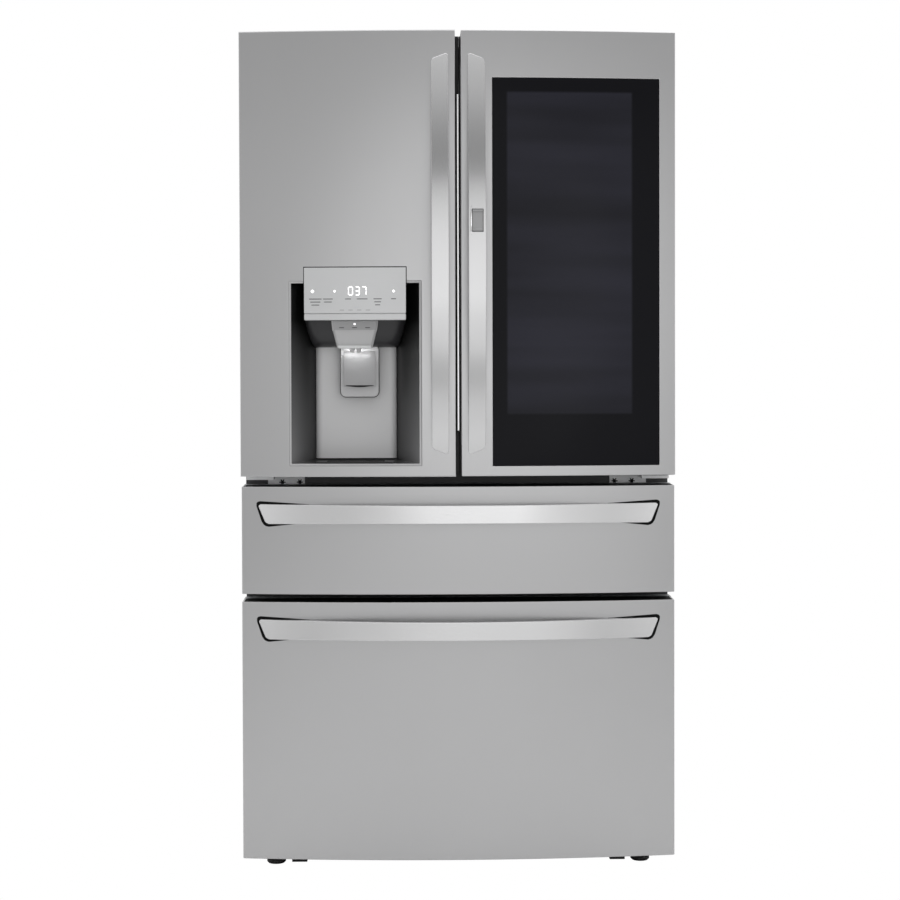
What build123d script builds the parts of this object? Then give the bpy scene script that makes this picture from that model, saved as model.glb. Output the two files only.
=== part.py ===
from build123d import *
from math import cos, radians, sin, sqrt
import os

# A four-door french door refrigerator: cabinet, two upper doors, a slim middle drawer and a
# freezer drawer. Millimetres, +Z up, origin on the floor under the middle of the whole box;
# the doors face -Y.

os.makedirs("parts", exist_ok=True)

# Cabinet
CABINET_HALF_WIDTH = 451.0
CABINET_BOTTOM = 40.0
CABINET_TOP = 1735.0
CABINET_FRONT = -283.0
CABINET_BACK = 460.0
SHEET = 1.5
CAVITY_HALF_WIDTH = 396.0
LINER = 2.0
SEAM = 0.5
FRIDGE_FLOOR, FRIDGE_ROOF, FRIDGE_BACK = 852.0, 1690.0, 400.0
MIDDLE_FLOOR, MIDDLE_ROOF, MIDDLE_BACK = 610.0, 780.0, 330.0
FREEZER_FLOOR, FREEZER_ROOF, FREEZER_BACK = 75.0, 540.0, 210.0
MACHINE_ROOF, MACHINE_FRONT = 300.0, 258.0

# Doors and drawers
DOOR_HALF_WIDTH = 454.0
DRAWER_HALF_WIDTH = 452.0
HALF_GAP = 6.0
FRONT = -408.0
BOW_DEPTH = 28.0
SKIN = 2.0
DOOR_BACK = -293.0
GASKET_BACK = -283.4
GASKET_WIDTH = 20.0
DOOR_BOTTOM, DOOR_TOP = 827.0, 1750.0
MIDDLE_BOTTOM, MIDDLE_TOP = 582.0, 806.0
FREEZER_BOTTOM, FREEZER_TOP = 28.0, 566.0
CAP = 4.0
HINGE_X, HINGE_Y = 430.0, -325.0
PIN_RADIUS, PIN_CLEARANCE = 6.0, 0.08

# Handles
HANDLE_FRONT = -460.0
HANDLE_THICKNESS = 13.0
HANDLE_FOOT = 80.0
HANDLE_INNER_X, HANDLE_OUTER_X = 20.5, 55.5
HANDLE_LOW, HANDLE_HIGH = 869.5, 1706.5
HANDLE_SLANT = 14.0
PULL_HALF_LENGTH = 421.0
PULL_SLANT = 18.0
PULL_HEIGHT = 41.0
PULL_TOP_DROP = 36.0
BUTTON_X, BUTTON_Z, BUTTON_WIDTH, BUTTON_HEIGHT = 38.8, 1353.5, 22.0, 46.0

# Dispenser in the left door
DISPENSER_X = -214.0
RECESS_HALF_WIDTH, RECESS_BOTTOM, RECESS_TOP, RECESS_BACK = 133.5, 853.5, 1229.0, -322.0
PANEL_HALF_WIDTH, PANEL_BOTTOM, PANEL_TOP = 105.5, 1151.5, 1260.5

# Glass in the outer right door
GLASS_LEFT, GLASS_RIGHT, GLASS_BOTTOM, GLASS_TOP = 71.5, 419.5, 849.0, 1651.5
WINDOW_LEFT, WINDOW_RIGHT, WINDOW_BOTTOM, WINDOW_TOP = 99.0, 364.5, 954.0, 1625.0
OUTER_DOOR_BACK = -352.0
INNER_FRAME_FRONT = -347.0

SIDES = (("left", -1), ("right", 1))
BOW_RADIUS = (DOOR_HALF_WIDTH**2 + BOW_DEPTH**2) / (2 * BOW_DEPTH)
BOW_CENTRE_Y = FRONT + BOW_RADIUS


def front_y(x, inset=0.0):
    """The bowed front's y at x, or that of a surface lying inset behind it."""
    return BOW_CENTRE_Y - sqrt((BOW_RADIUS - inset) ** 2 - x**2)


def block(low, high, mode=Mode.ADD):
    """A box between two opposite corners, in the part being built."""
    middle = tuple((a + b) / 2 for a, b in zip(low, high))
    with Locations(middle):
        Box(*(b - a for a, b in zip(low, high)), mode=mode)


def slab(low, high):
    """A foam slab, smaller than the space given to it by the seam round it."""
    block([a + SEAM / 2 for a in low], [b - SEAM / 2 for b in high])


def rod(start, direction, radius, length, mode=Mode.ADD):
    """A round bar from start along direction, in the part being built."""
    with Locations(Plane(origin=start, z_dir=direction)):
        Cylinder(radius, length, align=(Align.CENTER, Align.CENTER, Align.MIN), mode=mode)


def bowed(x_low, x_high, z_low, z_high, y_back, inset=0.0):
    """A closed block whose front follows the bow and whose back is flat."""
    with BuildPart() as piece:
        with BuildSketch(Plane.XY.offset(z_low)):
            with BuildLine():
                middle = (x_low + x_high) / 2
                ThreePointArc(
                    (x_low, front_y(x_low, inset)),
                    (middle, front_y(middle, inset)),
                    (x_high, front_y(x_high, inset)),
                )
                Polyline(
                    (x_high, front_y(x_high, inset)),
                    (x_high, y_back),
                    (x_low, y_back),
                    (x_low, front_y(x_low, inset)),
                )
            make_face()
        extrude(amount=z_high - z_low)
    return piece.part


def tub(low, high, wall, radius):
    """An open-topped bin with rounded upright corners."""
    width, depth = high[0] - low[0], high[1] - low[1]
    middle = ((low[0] + high[0]) / 2, (low[1] + high[1]) / 2)
    with BuildPart() as piece:
        with BuildSketch(Plane.XY.offset(low[2])):
            with Locations(middle):
                RectangleRounded(width, depth, radius)
        extrude(amount=high[2] - low[2])
        with BuildSketch(Plane.XY.offset(low[2] + wall)):
            with Locations(middle):
                RectangleRounded(width - 2 * wall, depth - 2 * wall, radius - wall)
        extrude(amount=high[2] - low[2] - wall, mode=Mode.SUBTRACT)
    return piece.part


def gasket(x_low, x_high, z_low, z_high, y_front, y_back, width):
    """A rectangular sealing ring in the plane of a door's back."""
    with BuildPart() as piece:
        block((x_low, y_front, z_low), (x_high, y_back, z_high))
        block(
            (x_low + width, y_front, z_low + width),
            (x_high - width, y_back, z_high - width),
            mode=Mode.SUBTRACT,
        )
    return piece.part


def upright_handle(sign):
    """A wide flat bar that arches out from the door face, with both ends flush on it."""
    middle = (HANDLE_LOW + HANDLE_HIGH) / 2
    x_low, x_high = sorted((sign * HANDLE_INNER_X, sign * HANDLE_OUTER_X))
    with BuildPart() as piece:
        with BuildSketch(Plane.YZ.offset(x_low)):
            with BuildLine():
                ThreePointArc((FRONT - 9, HANDLE_LOW), (HANDLE_FRONT, middle), (FRONT - 9, HANDLE_HIGH))
                Polyline(
                    (FRONT - 9, HANDLE_HIGH), (FRONT, HANDLE_HIGH), (FRONT, HANDLE_HIGH - HANDLE_FOOT)
                )
                ThreePointArc(
                    (FRONT, HANDLE_HIGH - HANDLE_FOOT),
                    (HANDLE_FRONT + HANDLE_THICKNESS, middle),
                    (FRONT, HANDLE_LOW + HANDLE_FOOT),
                )
                Polyline(
                    (FRONT, HANDLE_LOW + HANDLE_FOOT), (FRONT, HANDLE_LOW), (FRONT - 9, HANDLE_LOW)
                )
            make_face()
        extrude(amount=x_high - x_low)
        with BuildSketch(Plane.XZ.offset(-FRONT - 20)) as outline:
            with BuildLine():
                Polyline(
                    (sign * HANDLE_INNER_X, HANDLE_LOW),
                    (sign * HANDLE_INNER_X, HANDLE_HIGH),
                    (sign * HANDLE_OUTER_X, HANDLE_HIGH - HANDLE_SLANT),
                    (sign * HANDLE_OUTER_X, HANDLE_LOW + HANDLE_SLANT),
                    close=True,
                )
            make_face()
            fillet(outline.vertices(), 5)
        extrude(amount=100, mode=Mode.INTERSECT)
    return piece.part


def drawer_pull(z_top):
    """The same flat bar laid across a drawer, its ends slanted and flush on the bowed face."""
    z_low = z_top - PULL_HEIGHT
    inner = PULL_HALF_LENGTH - HANDLE_FOOT
    between = (PULL_HALF_LENGTH + inner) / 2
    with BuildPart() as piece:
        with BuildSketch(Plane.XY.offset(z_low)):
            with BuildLine():
                end, foot = front_y(PULL_HALF_LENGTH, -0.2), front_y(inner, -0.2)
                ThreePointArc(
                    (-PULL_HALF_LENGTH, end - 8), (0, HANDLE_FRONT), (PULL_HALF_LENGTH, end - 8)
                )
                Line((PULL_HALF_LENGTH, end - 8), (PULL_HALF_LENGTH, end))
                ThreePointArc(
                    (PULL_HALF_LENGTH, end), (between, front_y(between, -0.2)), (inner, foot)
                )
                ThreePointArc((inner, foot), (0, HANDLE_FRONT + HANDLE_THICKNESS), (-inner, foot))
                ThreePointArc(
                    (-inner, foot), (-between, front_y(between, -0.2)), (-PULL_HALF_LENGTH, end)
                )
                Line((-PULL_HALF_LENGTH, end), (-PULL_HALF_LENGTH, end - 8))
            make_face()
        extrude(amount=PULL_HEIGHT)
        with BuildSketch(Plane.XZ.offset(-FRONT - 40)) as outline:
            with BuildLine():
                lower = PULL_HALF_LENGTH - PULL_SLANT
                Polyline(
                    (-lower, z_low), (-PULL_HALF_LENGTH, z_top), (PULL_HALF_LENGTH, z_top), (lower, z_low)
                )
                ThreePointArc((lower, z_low), (0, z_low + 4), (-lower, z_low))
            make_face()
            fillet(outline.vertices(), 5)
        extrude(amount=120, mode=Mode.INTERSECT)
    return piece.part


# --- Cabinet -------------------------------------------------------------------------------

with BuildPart() as cabinet_shell:
    block(
        (-CABINET_HALF_WIDTH, CABINET_FRONT, CABINET_BOTTOM),
        (CABINET_HALF_WIDTH, CABINET_BACK, CABINET_TOP),
    )
    block(
        (-CABINET_HALF_WIDTH + SHEET, CABINET_FRONT + SHEET, CABINET_BOTTOM),
        (CABINET_HALF_WIDTH - SHEET, CABINET_BACK, CABINET_TOP - SHEET),
        mode=Mode.SUBTRACT,
    )
    for floor, roof in (
        (FRIDGE_FLOOR, FRIDGE_ROOF), (MIDDLE_FLOOR, MIDDLE_ROOF), (FREEZER_FLOOR, FREEZER_ROOF)
    ):
        block(
            (-CAVITY_HALF_WIDTH, CABINET_FRONT, floor),
            (CAVITY_HALF_WIDTH, CABINET_FRONT + SHEET, roof),
            mode=Mode.SUBTRACT,
        )
cabinet_shell.part.label = "cabinet_shell"
export_step(cabinet_shell.part, "parts/cabinet_shell.step")

FOAM_FRONT = CABINET_FRONT + SHEET
FOAM_BACK = CABINET_BACK - SHEET
FOAM_HALF = CABINET_HALF_WIDTH - SHEET

with BuildPart() as rear_panel:
    block((-FOAM_HALF, FOAM_BACK, MACHINE_ROOF), (FOAM_HALF, CABINET_BACK, CABINET_TOP - SHEET))
rear_panel.part.label = "rear_panel"
export_step(rear_panel.part, "parts/rear_panel.step")

with BuildPart() as cabinet_insulation:
    for side, sign in SIDES:
        x_low, x_high = sorted((sign * CAVITY_HALF_WIDTH, sign * FOAM_HALF))
        slab((x_low, FOAM_FRONT, CABINET_BOTTOM), (x_high, FOAM_BACK, CABINET_TOP - SHEET))
    cavity = CAVITY_HALF_WIDTH
    slab((-cavity, FOAM_FRONT, FRIDGE_ROOF), (cavity, FOAM_BACK, CABINET_TOP - SHEET))
    slab((-cavity, FOAM_FRONT, CABINET_BOTTOM), (cavity, FREEZER_BACK, FREEZER_FLOOR))
    slab((-cavity, FRIDGE_BACK, MACHINE_ROOF), (cavity, FOAM_BACK, FRIDGE_ROOF))
    slab((-cavity, FREEZER_BACK, MACHINE_ROOF), (cavity, FRIDGE_BACK, FREEZER_ROOF))
    slab((-cavity, FREEZER_BACK, CABINET_BOTTOM), (cavity, MACHINE_FRONT, MACHINE_ROOF))
    slab((-cavity, MIDDLE_BACK, MIDDLE_FLOOR), (cavity, FRIDGE_BACK, MIDDLE_ROOF))
cabinet_insulation.part.label = "cabinet_insulation"
export_step(cabinet_insulation.part, "parts/cabinet_insulation.step")

with BuildPart() as compartment_dividers:
    slab((-cavity, FOAM_FRONT, FREEZER_ROOF), (cavity, FRIDGE_BACK, MIDDLE_FLOOR))
    slab((-cavity, FOAM_FRONT, MIDDLE_ROOF), (cavity, FRIDGE_BACK, FRIDGE_FLOOR))
compartment_dividers.part.label = "compartment_dividers"
export_step(compartment_dividers.part, "parts/compartment_dividers.step")

SHELF_HEIGHTS = (1056.0, 1265.0, 1480.0)
SHELF_FRONT, SHELF_BACK, SHELF_GLASS = -150.0, 370.0, 5.0
LEDGE_DROP, LEDGE_WIDTH = 9.0, 10.0
INNER_HALF = CAVITY_HALF_WIDTH - LINER

with BuildPart() as fridge_liner:
    block((-cavity, FOAM_FRONT, FRIDGE_FLOOR), (cavity, FRIDGE_BACK, FRIDGE_ROOF))
    block(
        (-INNER_HALF, FOAM_FRONT, FRIDGE_FLOOR + LINER),
        (INNER_HALF, FRIDGE_BACK - LINER, FRIDGE_ROOF - LINER),
        mode=Mode.SUBTRACT,
    )
    for height in SHELF_HEIGHTS:
        for side, sign in SIDES:
            x_low, x_high = sorted((sign * (INNER_HALF - LEDGE_WIDTH), sign * INNER_HALF))
            block((x_low, SHELF_FRONT, height - LEDGE_DROP), (x_high, SHELF_BACK, height - 0.5))
fridge_liner.part.label = "fridge_liner"
export_step(fridge_liner.part, "parts/fridge_liner.step")

with BuildPart() as lower_liners:
    for floor, roof, back in (
        (MIDDLE_FLOOR, MIDDLE_ROOF, MIDDLE_BACK), (FREEZER_FLOOR, FREEZER_ROOF, FREEZER_BACK)
    ):
        block((-cavity, FOAM_FRONT, floor), (cavity, back, roof))
        block(
            (-INNER_HALF, FOAM_FRONT, floor + LINER),
            (INNER_HALF, back - LINER, roof - LINER),
            mode=Mode.SUBTRACT,
        )
lower_liners.part.label = "lower_liners"
export_step(lower_liners.part, "parts/lower_liners.step")

with BuildPart() as glass_shelves:
    for height in SHELF_HEIGHTS:
        block((-INNER_HALF + 1, SHELF_FRONT, height), (INNER_HALF - 1, SHELF_BACK, height + SHELF_GLASS))
glass_shelves.part.label = "glass_shelves"
export_step(glass_shelves.part, "parts/glass_shelves.step")

with BuildPart() as air_duct:
    block((-120, SHELF_BACK + 4, 900), (120, FRIDGE_BACK - LINER - 0.2, 1670))
    for height in (980, 1190, 1400, 1600):
        for x in (-60, 60):
            low = (x - 30, SHELF_BACK + 4, height)
            block(low, (x + 30, SHELF_BACK + 12, height + 8), mode=Mode.SUBTRACT)
air_duct.part.label = "air_duct"
export_step(air_duct.part, "parts/air_duct.step")

with BuildPart() as fridge_light:
    block((-90, -60, FRIDGE_ROOF - LINER - 12), (90, 60, FRIDGE_ROOF - LINER - 0.2))
    fillet(fridge_light.edges().filter_by(Axis.Z), 14)
    fillet(fridge_light.faces().sort_by(Axis.Z)[0].edges(), 5)
fridge_light.part.label = "fridge_light"
export_step(fridge_light.part, "parts/fridge_light.step")

CRISPER_FRONT, CRISPER_BACK, CRISPER_TOP = -95.0, 350.0, 1040.0
for side, sign in SIDES:
    x_low, x_high = sorted((sign * 8.0, sign * 376.0))
    with BuildPart() as crisper:
        add(tub((x_low, CRISPER_FRONT, FRIDGE_FLOOR + 4), (x_high, CRISPER_BACK, CRISPER_TOP), 4, 14))
        with BuildSketch(Plane.XY.offset(CRISPER_TOP - 20)):
            with Locations((sign * 192, CRISPER_FRONT - 8)):
                RectangleRounded(200, 20, 6)
        extrude(amount=20)
    crisper.part.label = f"crisper_{side}"
    export_step(crisper.part, f"parts/crisper_{side}.step")

RAIL_LENGTH = {"middle": (-275.0, 300.0), "freezer": (-275.0, 140.0)}
RAIL_HEIGHTS = {"middle": 690.0, "freezer": 330.0}
with BuildPart() as cabinet_rails:
    for name, height in RAIL_HEIGHTS.items():
        y_low, y_high = RAIL_LENGTH[name]
        for side, sign in SIDES:
            x_low, x_high = sorted((sign * 388.5, sign * (INNER_HALF - 0.2)))
            block((x_low, y_low, height - 18), (x_high, y_high, height + 18))
            x_low, x_high = sorted((sign * 388.5, sign * 391.5))
            block((x_low, y_low, height - 12), (x_high, y_high, height + 12), mode=Mode.SUBTRACT)
cabinet_rails.part.label = "cabinet_rails"
export_step(cabinet_rails.part, "parts/cabinet_rails.step")

# --- Hinges --------------------------------------------------------------------------------

ARM_LOW, ARM_HIGH = DOOR_TOP + 1.5, DOOR_TOP + 4.5
TOP_BOLTS = ((405.0, -255.0), (435.0, -255.0), (420.0, -215.0))
MIDDLE_BOLTS, MIDDLE_BOLT_Z, MIDDLE_BOLT_HEAD = (373.0, 336.0), 809.5, 8.5
MIDDLE_ARM_LOW, MIDDLE_ARM_HIGH = 818.0, 824.5
BOLT_SHANK, BOLT_HEAD, BOLT_HEAD_HEIGHT = 4.0, 8.0, 5.0
BOLT_HOLE = BOLT_SHANK + 0.4

with BuildPart() as hinge_brackets:
    for side, sign in SIDES:
        x_low, x_high = sorted((sign * 396.0, sign * 446.0))
        block((x_low, -276, CABINET_TOP), (x_high, -200, CABINET_TOP + 3))
        block((x_low, -279, CABINET_TOP), (x_high, -276, ARM_HIGH))
        block((x_low, -345, ARM_LOW), (x_high, -276, ARM_HIGH))
        rod((sign * HINGE_X, HINGE_Y, ARM_LOW), (0, 0, -1), PIN_RADIUS, 18)
        for x, y in TOP_BOLTS:
            rod((sign * x, y, CABINET_TOP), (0, 0, 1), BOLT_HOLE, 3, mode=Mode.SUBTRACT)
        x_low, x_high = sorted((sign * 326.0, sign * 404.0))
        block((x_low, -286.5, MIDDLE_BOLT_Z - 9), (x_high, -283.5, MIDDLE_ARM_HIGH))
        for x in MIDDLE_BOLTS:
            rod((sign * x, -286.5, MIDDLE_BOLT_Z), (0, 1, 0), BOLT_HOLE, 3, mode=Mode.SUBTRACT)
        x_low, x_high = sorted((sign * 388.0, sign * 445.0))
        block((x_low, -345, MIDDLE_ARM_LOW), (x_high, -286.5, MIDDLE_ARM_HIGH))
        rod((sign * HINGE_X, HINGE_Y, MIDDLE_ARM_LOW + 1), (0, 0, 1), PIN_RADIUS, 23.5)
hinge_brackets.part.label = "hinge_brackets"
export_step(hinge_brackets.part, "parts/hinge_brackets.step")

with BuildPart() as hinge_bolts:
    for side, sign in SIDES:
        for x, y in TOP_BOLTS:
            rod((sign * x, y, CABINET_TOP + 0.1), (0, 0, 1), BOLT_SHANK, 3)
            with BuildSketch(Plane.XY.offset(CABINET_TOP + 3.1)):
                with Locations((sign * x, y)):
                    RegularPolygon(BOLT_HEAD, 6)
            extrude(amount=BOLT_HEAD_HEIGHT)
        for x in MIDDLE_BOLTS:
            rod((sign * x, -286.6, MIDDLE_BOLT_Z), (0, 1, 0), BOLT_SHANK, 3)
            with BuildSketch(Plane.XZ.offset(286.6)):
                with Locations((sign * x, MIDDLE_BOLT_Z)):
                    RegularPolygon(MIDDLE_BOLT_HEAD, 6)
            extrude(amount=BOLT_HEAD_HEIGHT)
hinge_bolts.part.label = "hinge_bolts"
export_step(hinge_bolts.part, "parts/hinge_bolts.step")

COVER_HALF = 29.0
with BuildPart() as hinge_covers:
    for side, sign in SIDES:
        centre = sign * (CABINET_HALF_WIDTH - COVER_HALF - 1)
        block((centre - COVER_HALF, -282, CABINET_TOP), (centre + COVER_HALF, -175, CABINET_TOP + 33))
    fillet(hinge_covers.edges().filter_by(Axis.Z), 8)
    fillet(hinge_covers.faces().filter_by(Axis.Z).group_by(Axis.Z)[-1].edges(), 5)
    for side, sign in SIDES:
        centre = sign * (CABINET_HALF_WIDTH - COVER_HALF - 1)
        inner = COVER_HALF - 2
        low = (centre - inner, -290, CABINET_TOP)
        block(low, (centre + inner, -180, CABINET_TOP + 29), mode=Mode.SUBTRACT)
hinge_covers.part.label = "hinge_covers"
export_step(hinge_covers.part, "parts/hinge_covers.step")

# --- Base, feet and rollers ----------------------------------------------------------------

LEG_X, LEG_Y, LEG_RADIUS = 388.0, -305.0, 20.0
LEG_ARM_LOW, LEG_ARM_HIGH = 18.2, 25.8
ROLLER_X, ROLLER_Y, ROLLER_RADIUS, ROLLER_WIDTH = 415.0, 420.0, 20.0, 16.0
FAN_Y, FAN_Z, FAN_RADIUS = 350.0, 150.0, 62.0

PLATE_LOW, PLATE_HIGH = CABINET_BOTTOM - 3, CABINET_BOTTOM - 0.2
WHEEL_GAP = ROLLER_WIDTH / 2 + 1
with BuildPart() as base_frame:
    block((-445, -275, PLATE_LOW), (445, 452, PLATE_HIGH))
    for side, sign in SIDES:
        for x_near, x_far, z_low in ((322.0, 354.0, 4.0), (LEG_X - 16, LEG_X + 16, LEG_ARM_LOW)):
            x_low, x_high = sorted((sign * x_near, sign * x_far))
            block((x_low, LEG_Y - 16, z_low), (x_high, -238, LEG_ARM_HIGH))
            block((x_low, -272, LEG_ARM_HIGH + 0.2), (x_high, -238, PLATE_LOW - 0.2))
        rod((sign * LEG_X, LEG_Y, LEG_ARM_LOW), (0, 0, 1), 6.4, 8, mode=Mode.SUBTRACT)
        x = sign * ROLLER_X
        block(
            (x - WHEEL_GAP, ROLLER_Y - 24, PLATE_LOW), (x + WHEEL_GAP, ROLLER_Y + 24, PLATE_HIGH),
            mode=Mode.SUBTRACT,
        )
        for offset in (-WHEEL_GAP - 3, WHEEL_GAP):
            block((x + offset, ROLLER_Y - 16, 12), (x + offset + 3, ROLLER_Y + 16, PLATE_LOW - 0.2))
        rod((x - WHEEL_GAP - 3, ROLLER_Y, ROLLER_RADIUS), (1, 0, 0), 4, 2 * WHEEL_GAP + 6)
    block((28, FAN_Y - 75, PLATE_HIGH + 0.2), (31, FAN_Y + 75, FAN_Z + 75))
    rod((25, FAN_Y, FAN_Z), (1, 0, 0), FAN_RADIUS + 4, 10, mode=Mode.SUBTRACT)
    block((28, FAN_Y - 75, FAN_Z - 6), (31, FAN_Y + 75, FAN_Z + 6))
    rod((6, FAN_Y, FAN_Z), (1, 0, 0), 3.9, 24)
base_frame.part.label = "base_frame"
export_step(base_frame.part, "parts/base_frame.step")

for side, sign in SIDES:
    with BuildPart() as leg:
        with BuildSketch(Plane.XZ.offset(-LEG_Y)):
            with BuildLine():
                Polyline(
                    (0, 0), (LEG_RADIUS - 3, 0), (LEG_RADIUS, 3), (LEG_RADIUS, 9),
                    (LEG_RADIUS - 8, 17), (6.3, 17), (6.3, LEG_ARM_HIGH), (0, LEG_ARM_HIGH), (0, 0),
                )
            make_face()
        revolve(axis=Axis((0, LEG_Y, 0), (0, 0, 1)))
    leg.part.label = f"{side}_levelling_leg"
    placed = leg.part.moved(Location((sign * LEG_X, 0, 0)))
    placed.label = f"{side}_levelling_leg"
    export_step(placed, f"parts/{side}_levelling_leg.step")

    with BuildPart() as roller:
        rod(
            (sign * ROLLER_X - ROLLER_WIDTH / 2, ROLLER_Y, ROLLER_RADIUS),
            (1, 0, 0), ROLLER_RADIUS, ROLLER_WIDTH,
        )
        fillet(roller.edges(), 2)
        rod(
            (sign * ROLLER_X - ROLLER_WIDTH, ROLLER_Y, ROLLER_RADIUS),
            (1, 0, 0), 4.08, 2 * ROLLER_WIDTH, mode=Mode.SUBTRACT,
        )
    roller.part.label = f"{side}_roller"
    export_step(roller.part, f"parts/{side}_roller.step")

# --- Machine compartment and cold parts ----------------------------------------------------

with BuildPart() as compressor:
    with Locations((0, FAN_Y, 140)):
        Cylinder(84, 148)
    fillet(compressor.faces().sort_by(Axis.Z)[-1].edges(), 52)
    fillet(compressor.faces().sort_by(Axis.Z)[0].edges(), 24)
    with Locations((0, FAN_Y, 131)):
        Cylinder(88, 6)
    block((-110, FAN_Y - 60, 58), (110, FAN_Y + 60, 70))
    for x in (-95, 95):
        for y in (FAN_Y - 45, FAN_Y + 45):
            rod((x, y, CABINET_BOTTOM), (0, 0, 1), 12, 18)
    rod((0, FAN_Y, 150), (1, 0, 0), 5, 125)
compressor_placed = compressor.part.moved(Location((-235, 0, 0)))
compressor_placed.label = "compressor"
export_step(compressor_placed, "parts/compressor.step")

with BuildPart() as condenser:
    for index in range(22):
        x = 90 + index * 11
        block((x, FAN_Y - 62, 62), (x + 1, FAN_Y + 62, 240))
    for y in (FAN_Y - 40, FAN_Y, FAN_Y + 40):
        for height in (90, 130, 170, 210):
            rod((78, y, height), (1, 0, 0), 4.5, 258)
    for y in (FAN_Y - 40, FAN_Y, FAN_Y + 40):
        block((74, y - 5, 86), (80, y + 5, 214))
        block((334, y - 5, 86), (340, y + 5, 214))
    block((80, FAN_Y - 62, CABINET_BOTTOM), (92, FAN_Y + 62, 62))
    block((320, FAN_Y - 62, CABINET_BOTTOM), (332, FAN_Y + 62, 62))
condenser.part.label = "condenser"
export_step(condenser.part, "parts/condenser.step")

with BuildPart() as condenser_fan:
    rod((-4, FAN_Y, FAN_Z), (1, 0, 0), 16, 22)
    for index in range(5):
        angle = 72 * index
        blade_plane = Plane(origin=(7, FAN_Y, FAN_Z), z_dir=(0, sin(radians(angle)), cos(radians(angle))))
        with BuildSketch(blade_plane.offset(12)):
            Rectangle(3, 22, rotation=35)
        extrude(amount=FAN_RADIUS - 14)
    rod((4, FAN_Y, FAN_Z), (1, 0, 0), 4.0, 30, mode=Mode.SUBTRACT)
condenser_fan.part.label = "condenser_fan"
export_step(condenser_fan.part, "parts/condenser_fan.step")

with BuildPart() as machine_cover:
    block((-FOAM_HALF, FOAM_BACK, CABINET_BOTTOM + 2), (FOAM_HALF, CABINET_BACK, MACHINE_ROOF - 1))
    with BuildSketch(Plane.XZ.offset(-CABINET_BACK)):
        with Locations((0, 175)):
            with GridLocations(60, 24, 12, 7):
                SlotOverall(44, 8)
    extrude(amount=5, both=True, mode=Mode.SUBTRACT)
machine_cover.part.label = "machine_cover"
export_step(machine_cover.part, "parts/machine_cover.step")

COLD_WALL = 150.0
with BuildPart() as evaporator_cover:
    low = (-INNER_HALF + 1, COLD_WALL, FREEZER_FLOOR + 3)
    block(low, (INNER_HALF - 1, COLD_WALL + 3, FREEZER_ROOF - 3))
    with BuildSketch(Plane.XZ.offset(-COLD_WALL)):
        with Locations((0, 470)):
            with PolarLocations(26, 8):
                Circle(8)
        with Locations((0, 110)):
            with GridLocations(60, 14, 10, 2):
                SlotOverall(46, 6)
    extrude(amount=6, both=True, mode=Mode.SUBTRACT)
evaporator_cover.part.label = "evaporator_cover"
export_step(evaporator_cover.part, "parts/evaporator_cover.step")

with BuildPart() as evaporator:
    for index in range(31):
        x = -240 + index * 16
        block((x - 0.5, 160, 140), (x + 0.5, 204, 400))
    for height in (165, 205, 245, 285, 325, 365):
        for y in (171, 193):
            rod((-252, y, height), (1, 0, 0), 4, 504)
    for x in (-258, 250):
        block((x, 166, 160), (x + 8, 198, 370))
evaporator.part.label = "evaporator"
export_step(evaporator.part, "parts/evaporator.step")

with BuildPart() as evaporator_fan:
    rod((0, 165, 470), (0, 1, 0), 14, 20)
    for index in range(5):
        angle = 72 * index
        blade_plane = Plane(origin=(0, 175, 470), z_dir=(sin(radians(angle)), 0, cos(radians(angle))))
        with BuildSketch(blade_plane.offset(10)):
            Rectangle(3, 18, rotation=35)
        extrude(amount=34)
evaporator_fan.part.label = "evaporator_fan"
export_step(evaporator_fan.part, "parts/evaporator_fan.step")

# --- Left door -----------------------------------------------------------------------------

LINER_EDGE = -330.0
LINER_PLATE = 10.0
CORE_BACK = DOOR_BACK - LINER_PLATE
LEFT_OUT, LEFT_IN = -DOOR_HALF_WIDTH, -HALF_GAP
POCKET_LEFT = DISPENSER_X - RECESS_HALF_WIDTH - 4
POCKET_RIGHT = DISPENSER_X + RECESS_HALF_WIDTH + 4
POCKET_BOTTOM, POCKET_TOP, POCKET_BACK = RECESS_BOTTOM - 4, RECESS_TOP + 4, RECESS_BACK + 9

door_wrap = bowed(LEFT_OUT, LEFT_IN, DOOR_BOTTOM + CAP, DOOR_TOP - CAP, LINER_EDGE)
door_inside = bowed(LEFT_OUT + SKIN, LEFT_IN - SKIN, DOOR_BOTTOM, DOOR_TOP, LINER_EDGE, SKIN)
with BuildPart() as left_door_skin:
    add(door_wrap)
    add(door_inside, mode=Mode.SUBTRACT)
    block(
        (POCKET_LEFT, FRONT - 10, POCKET_BOTTOM), (POCKET_RIGHT, POCKET_BACK, POCKET_TOP),
        mode=Mode.SUBTRACT,
    )
left_door_skin.part.label = "left_door_skin"
export_step(left_door_skin.part, "parts/left_door_skin.step")

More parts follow.
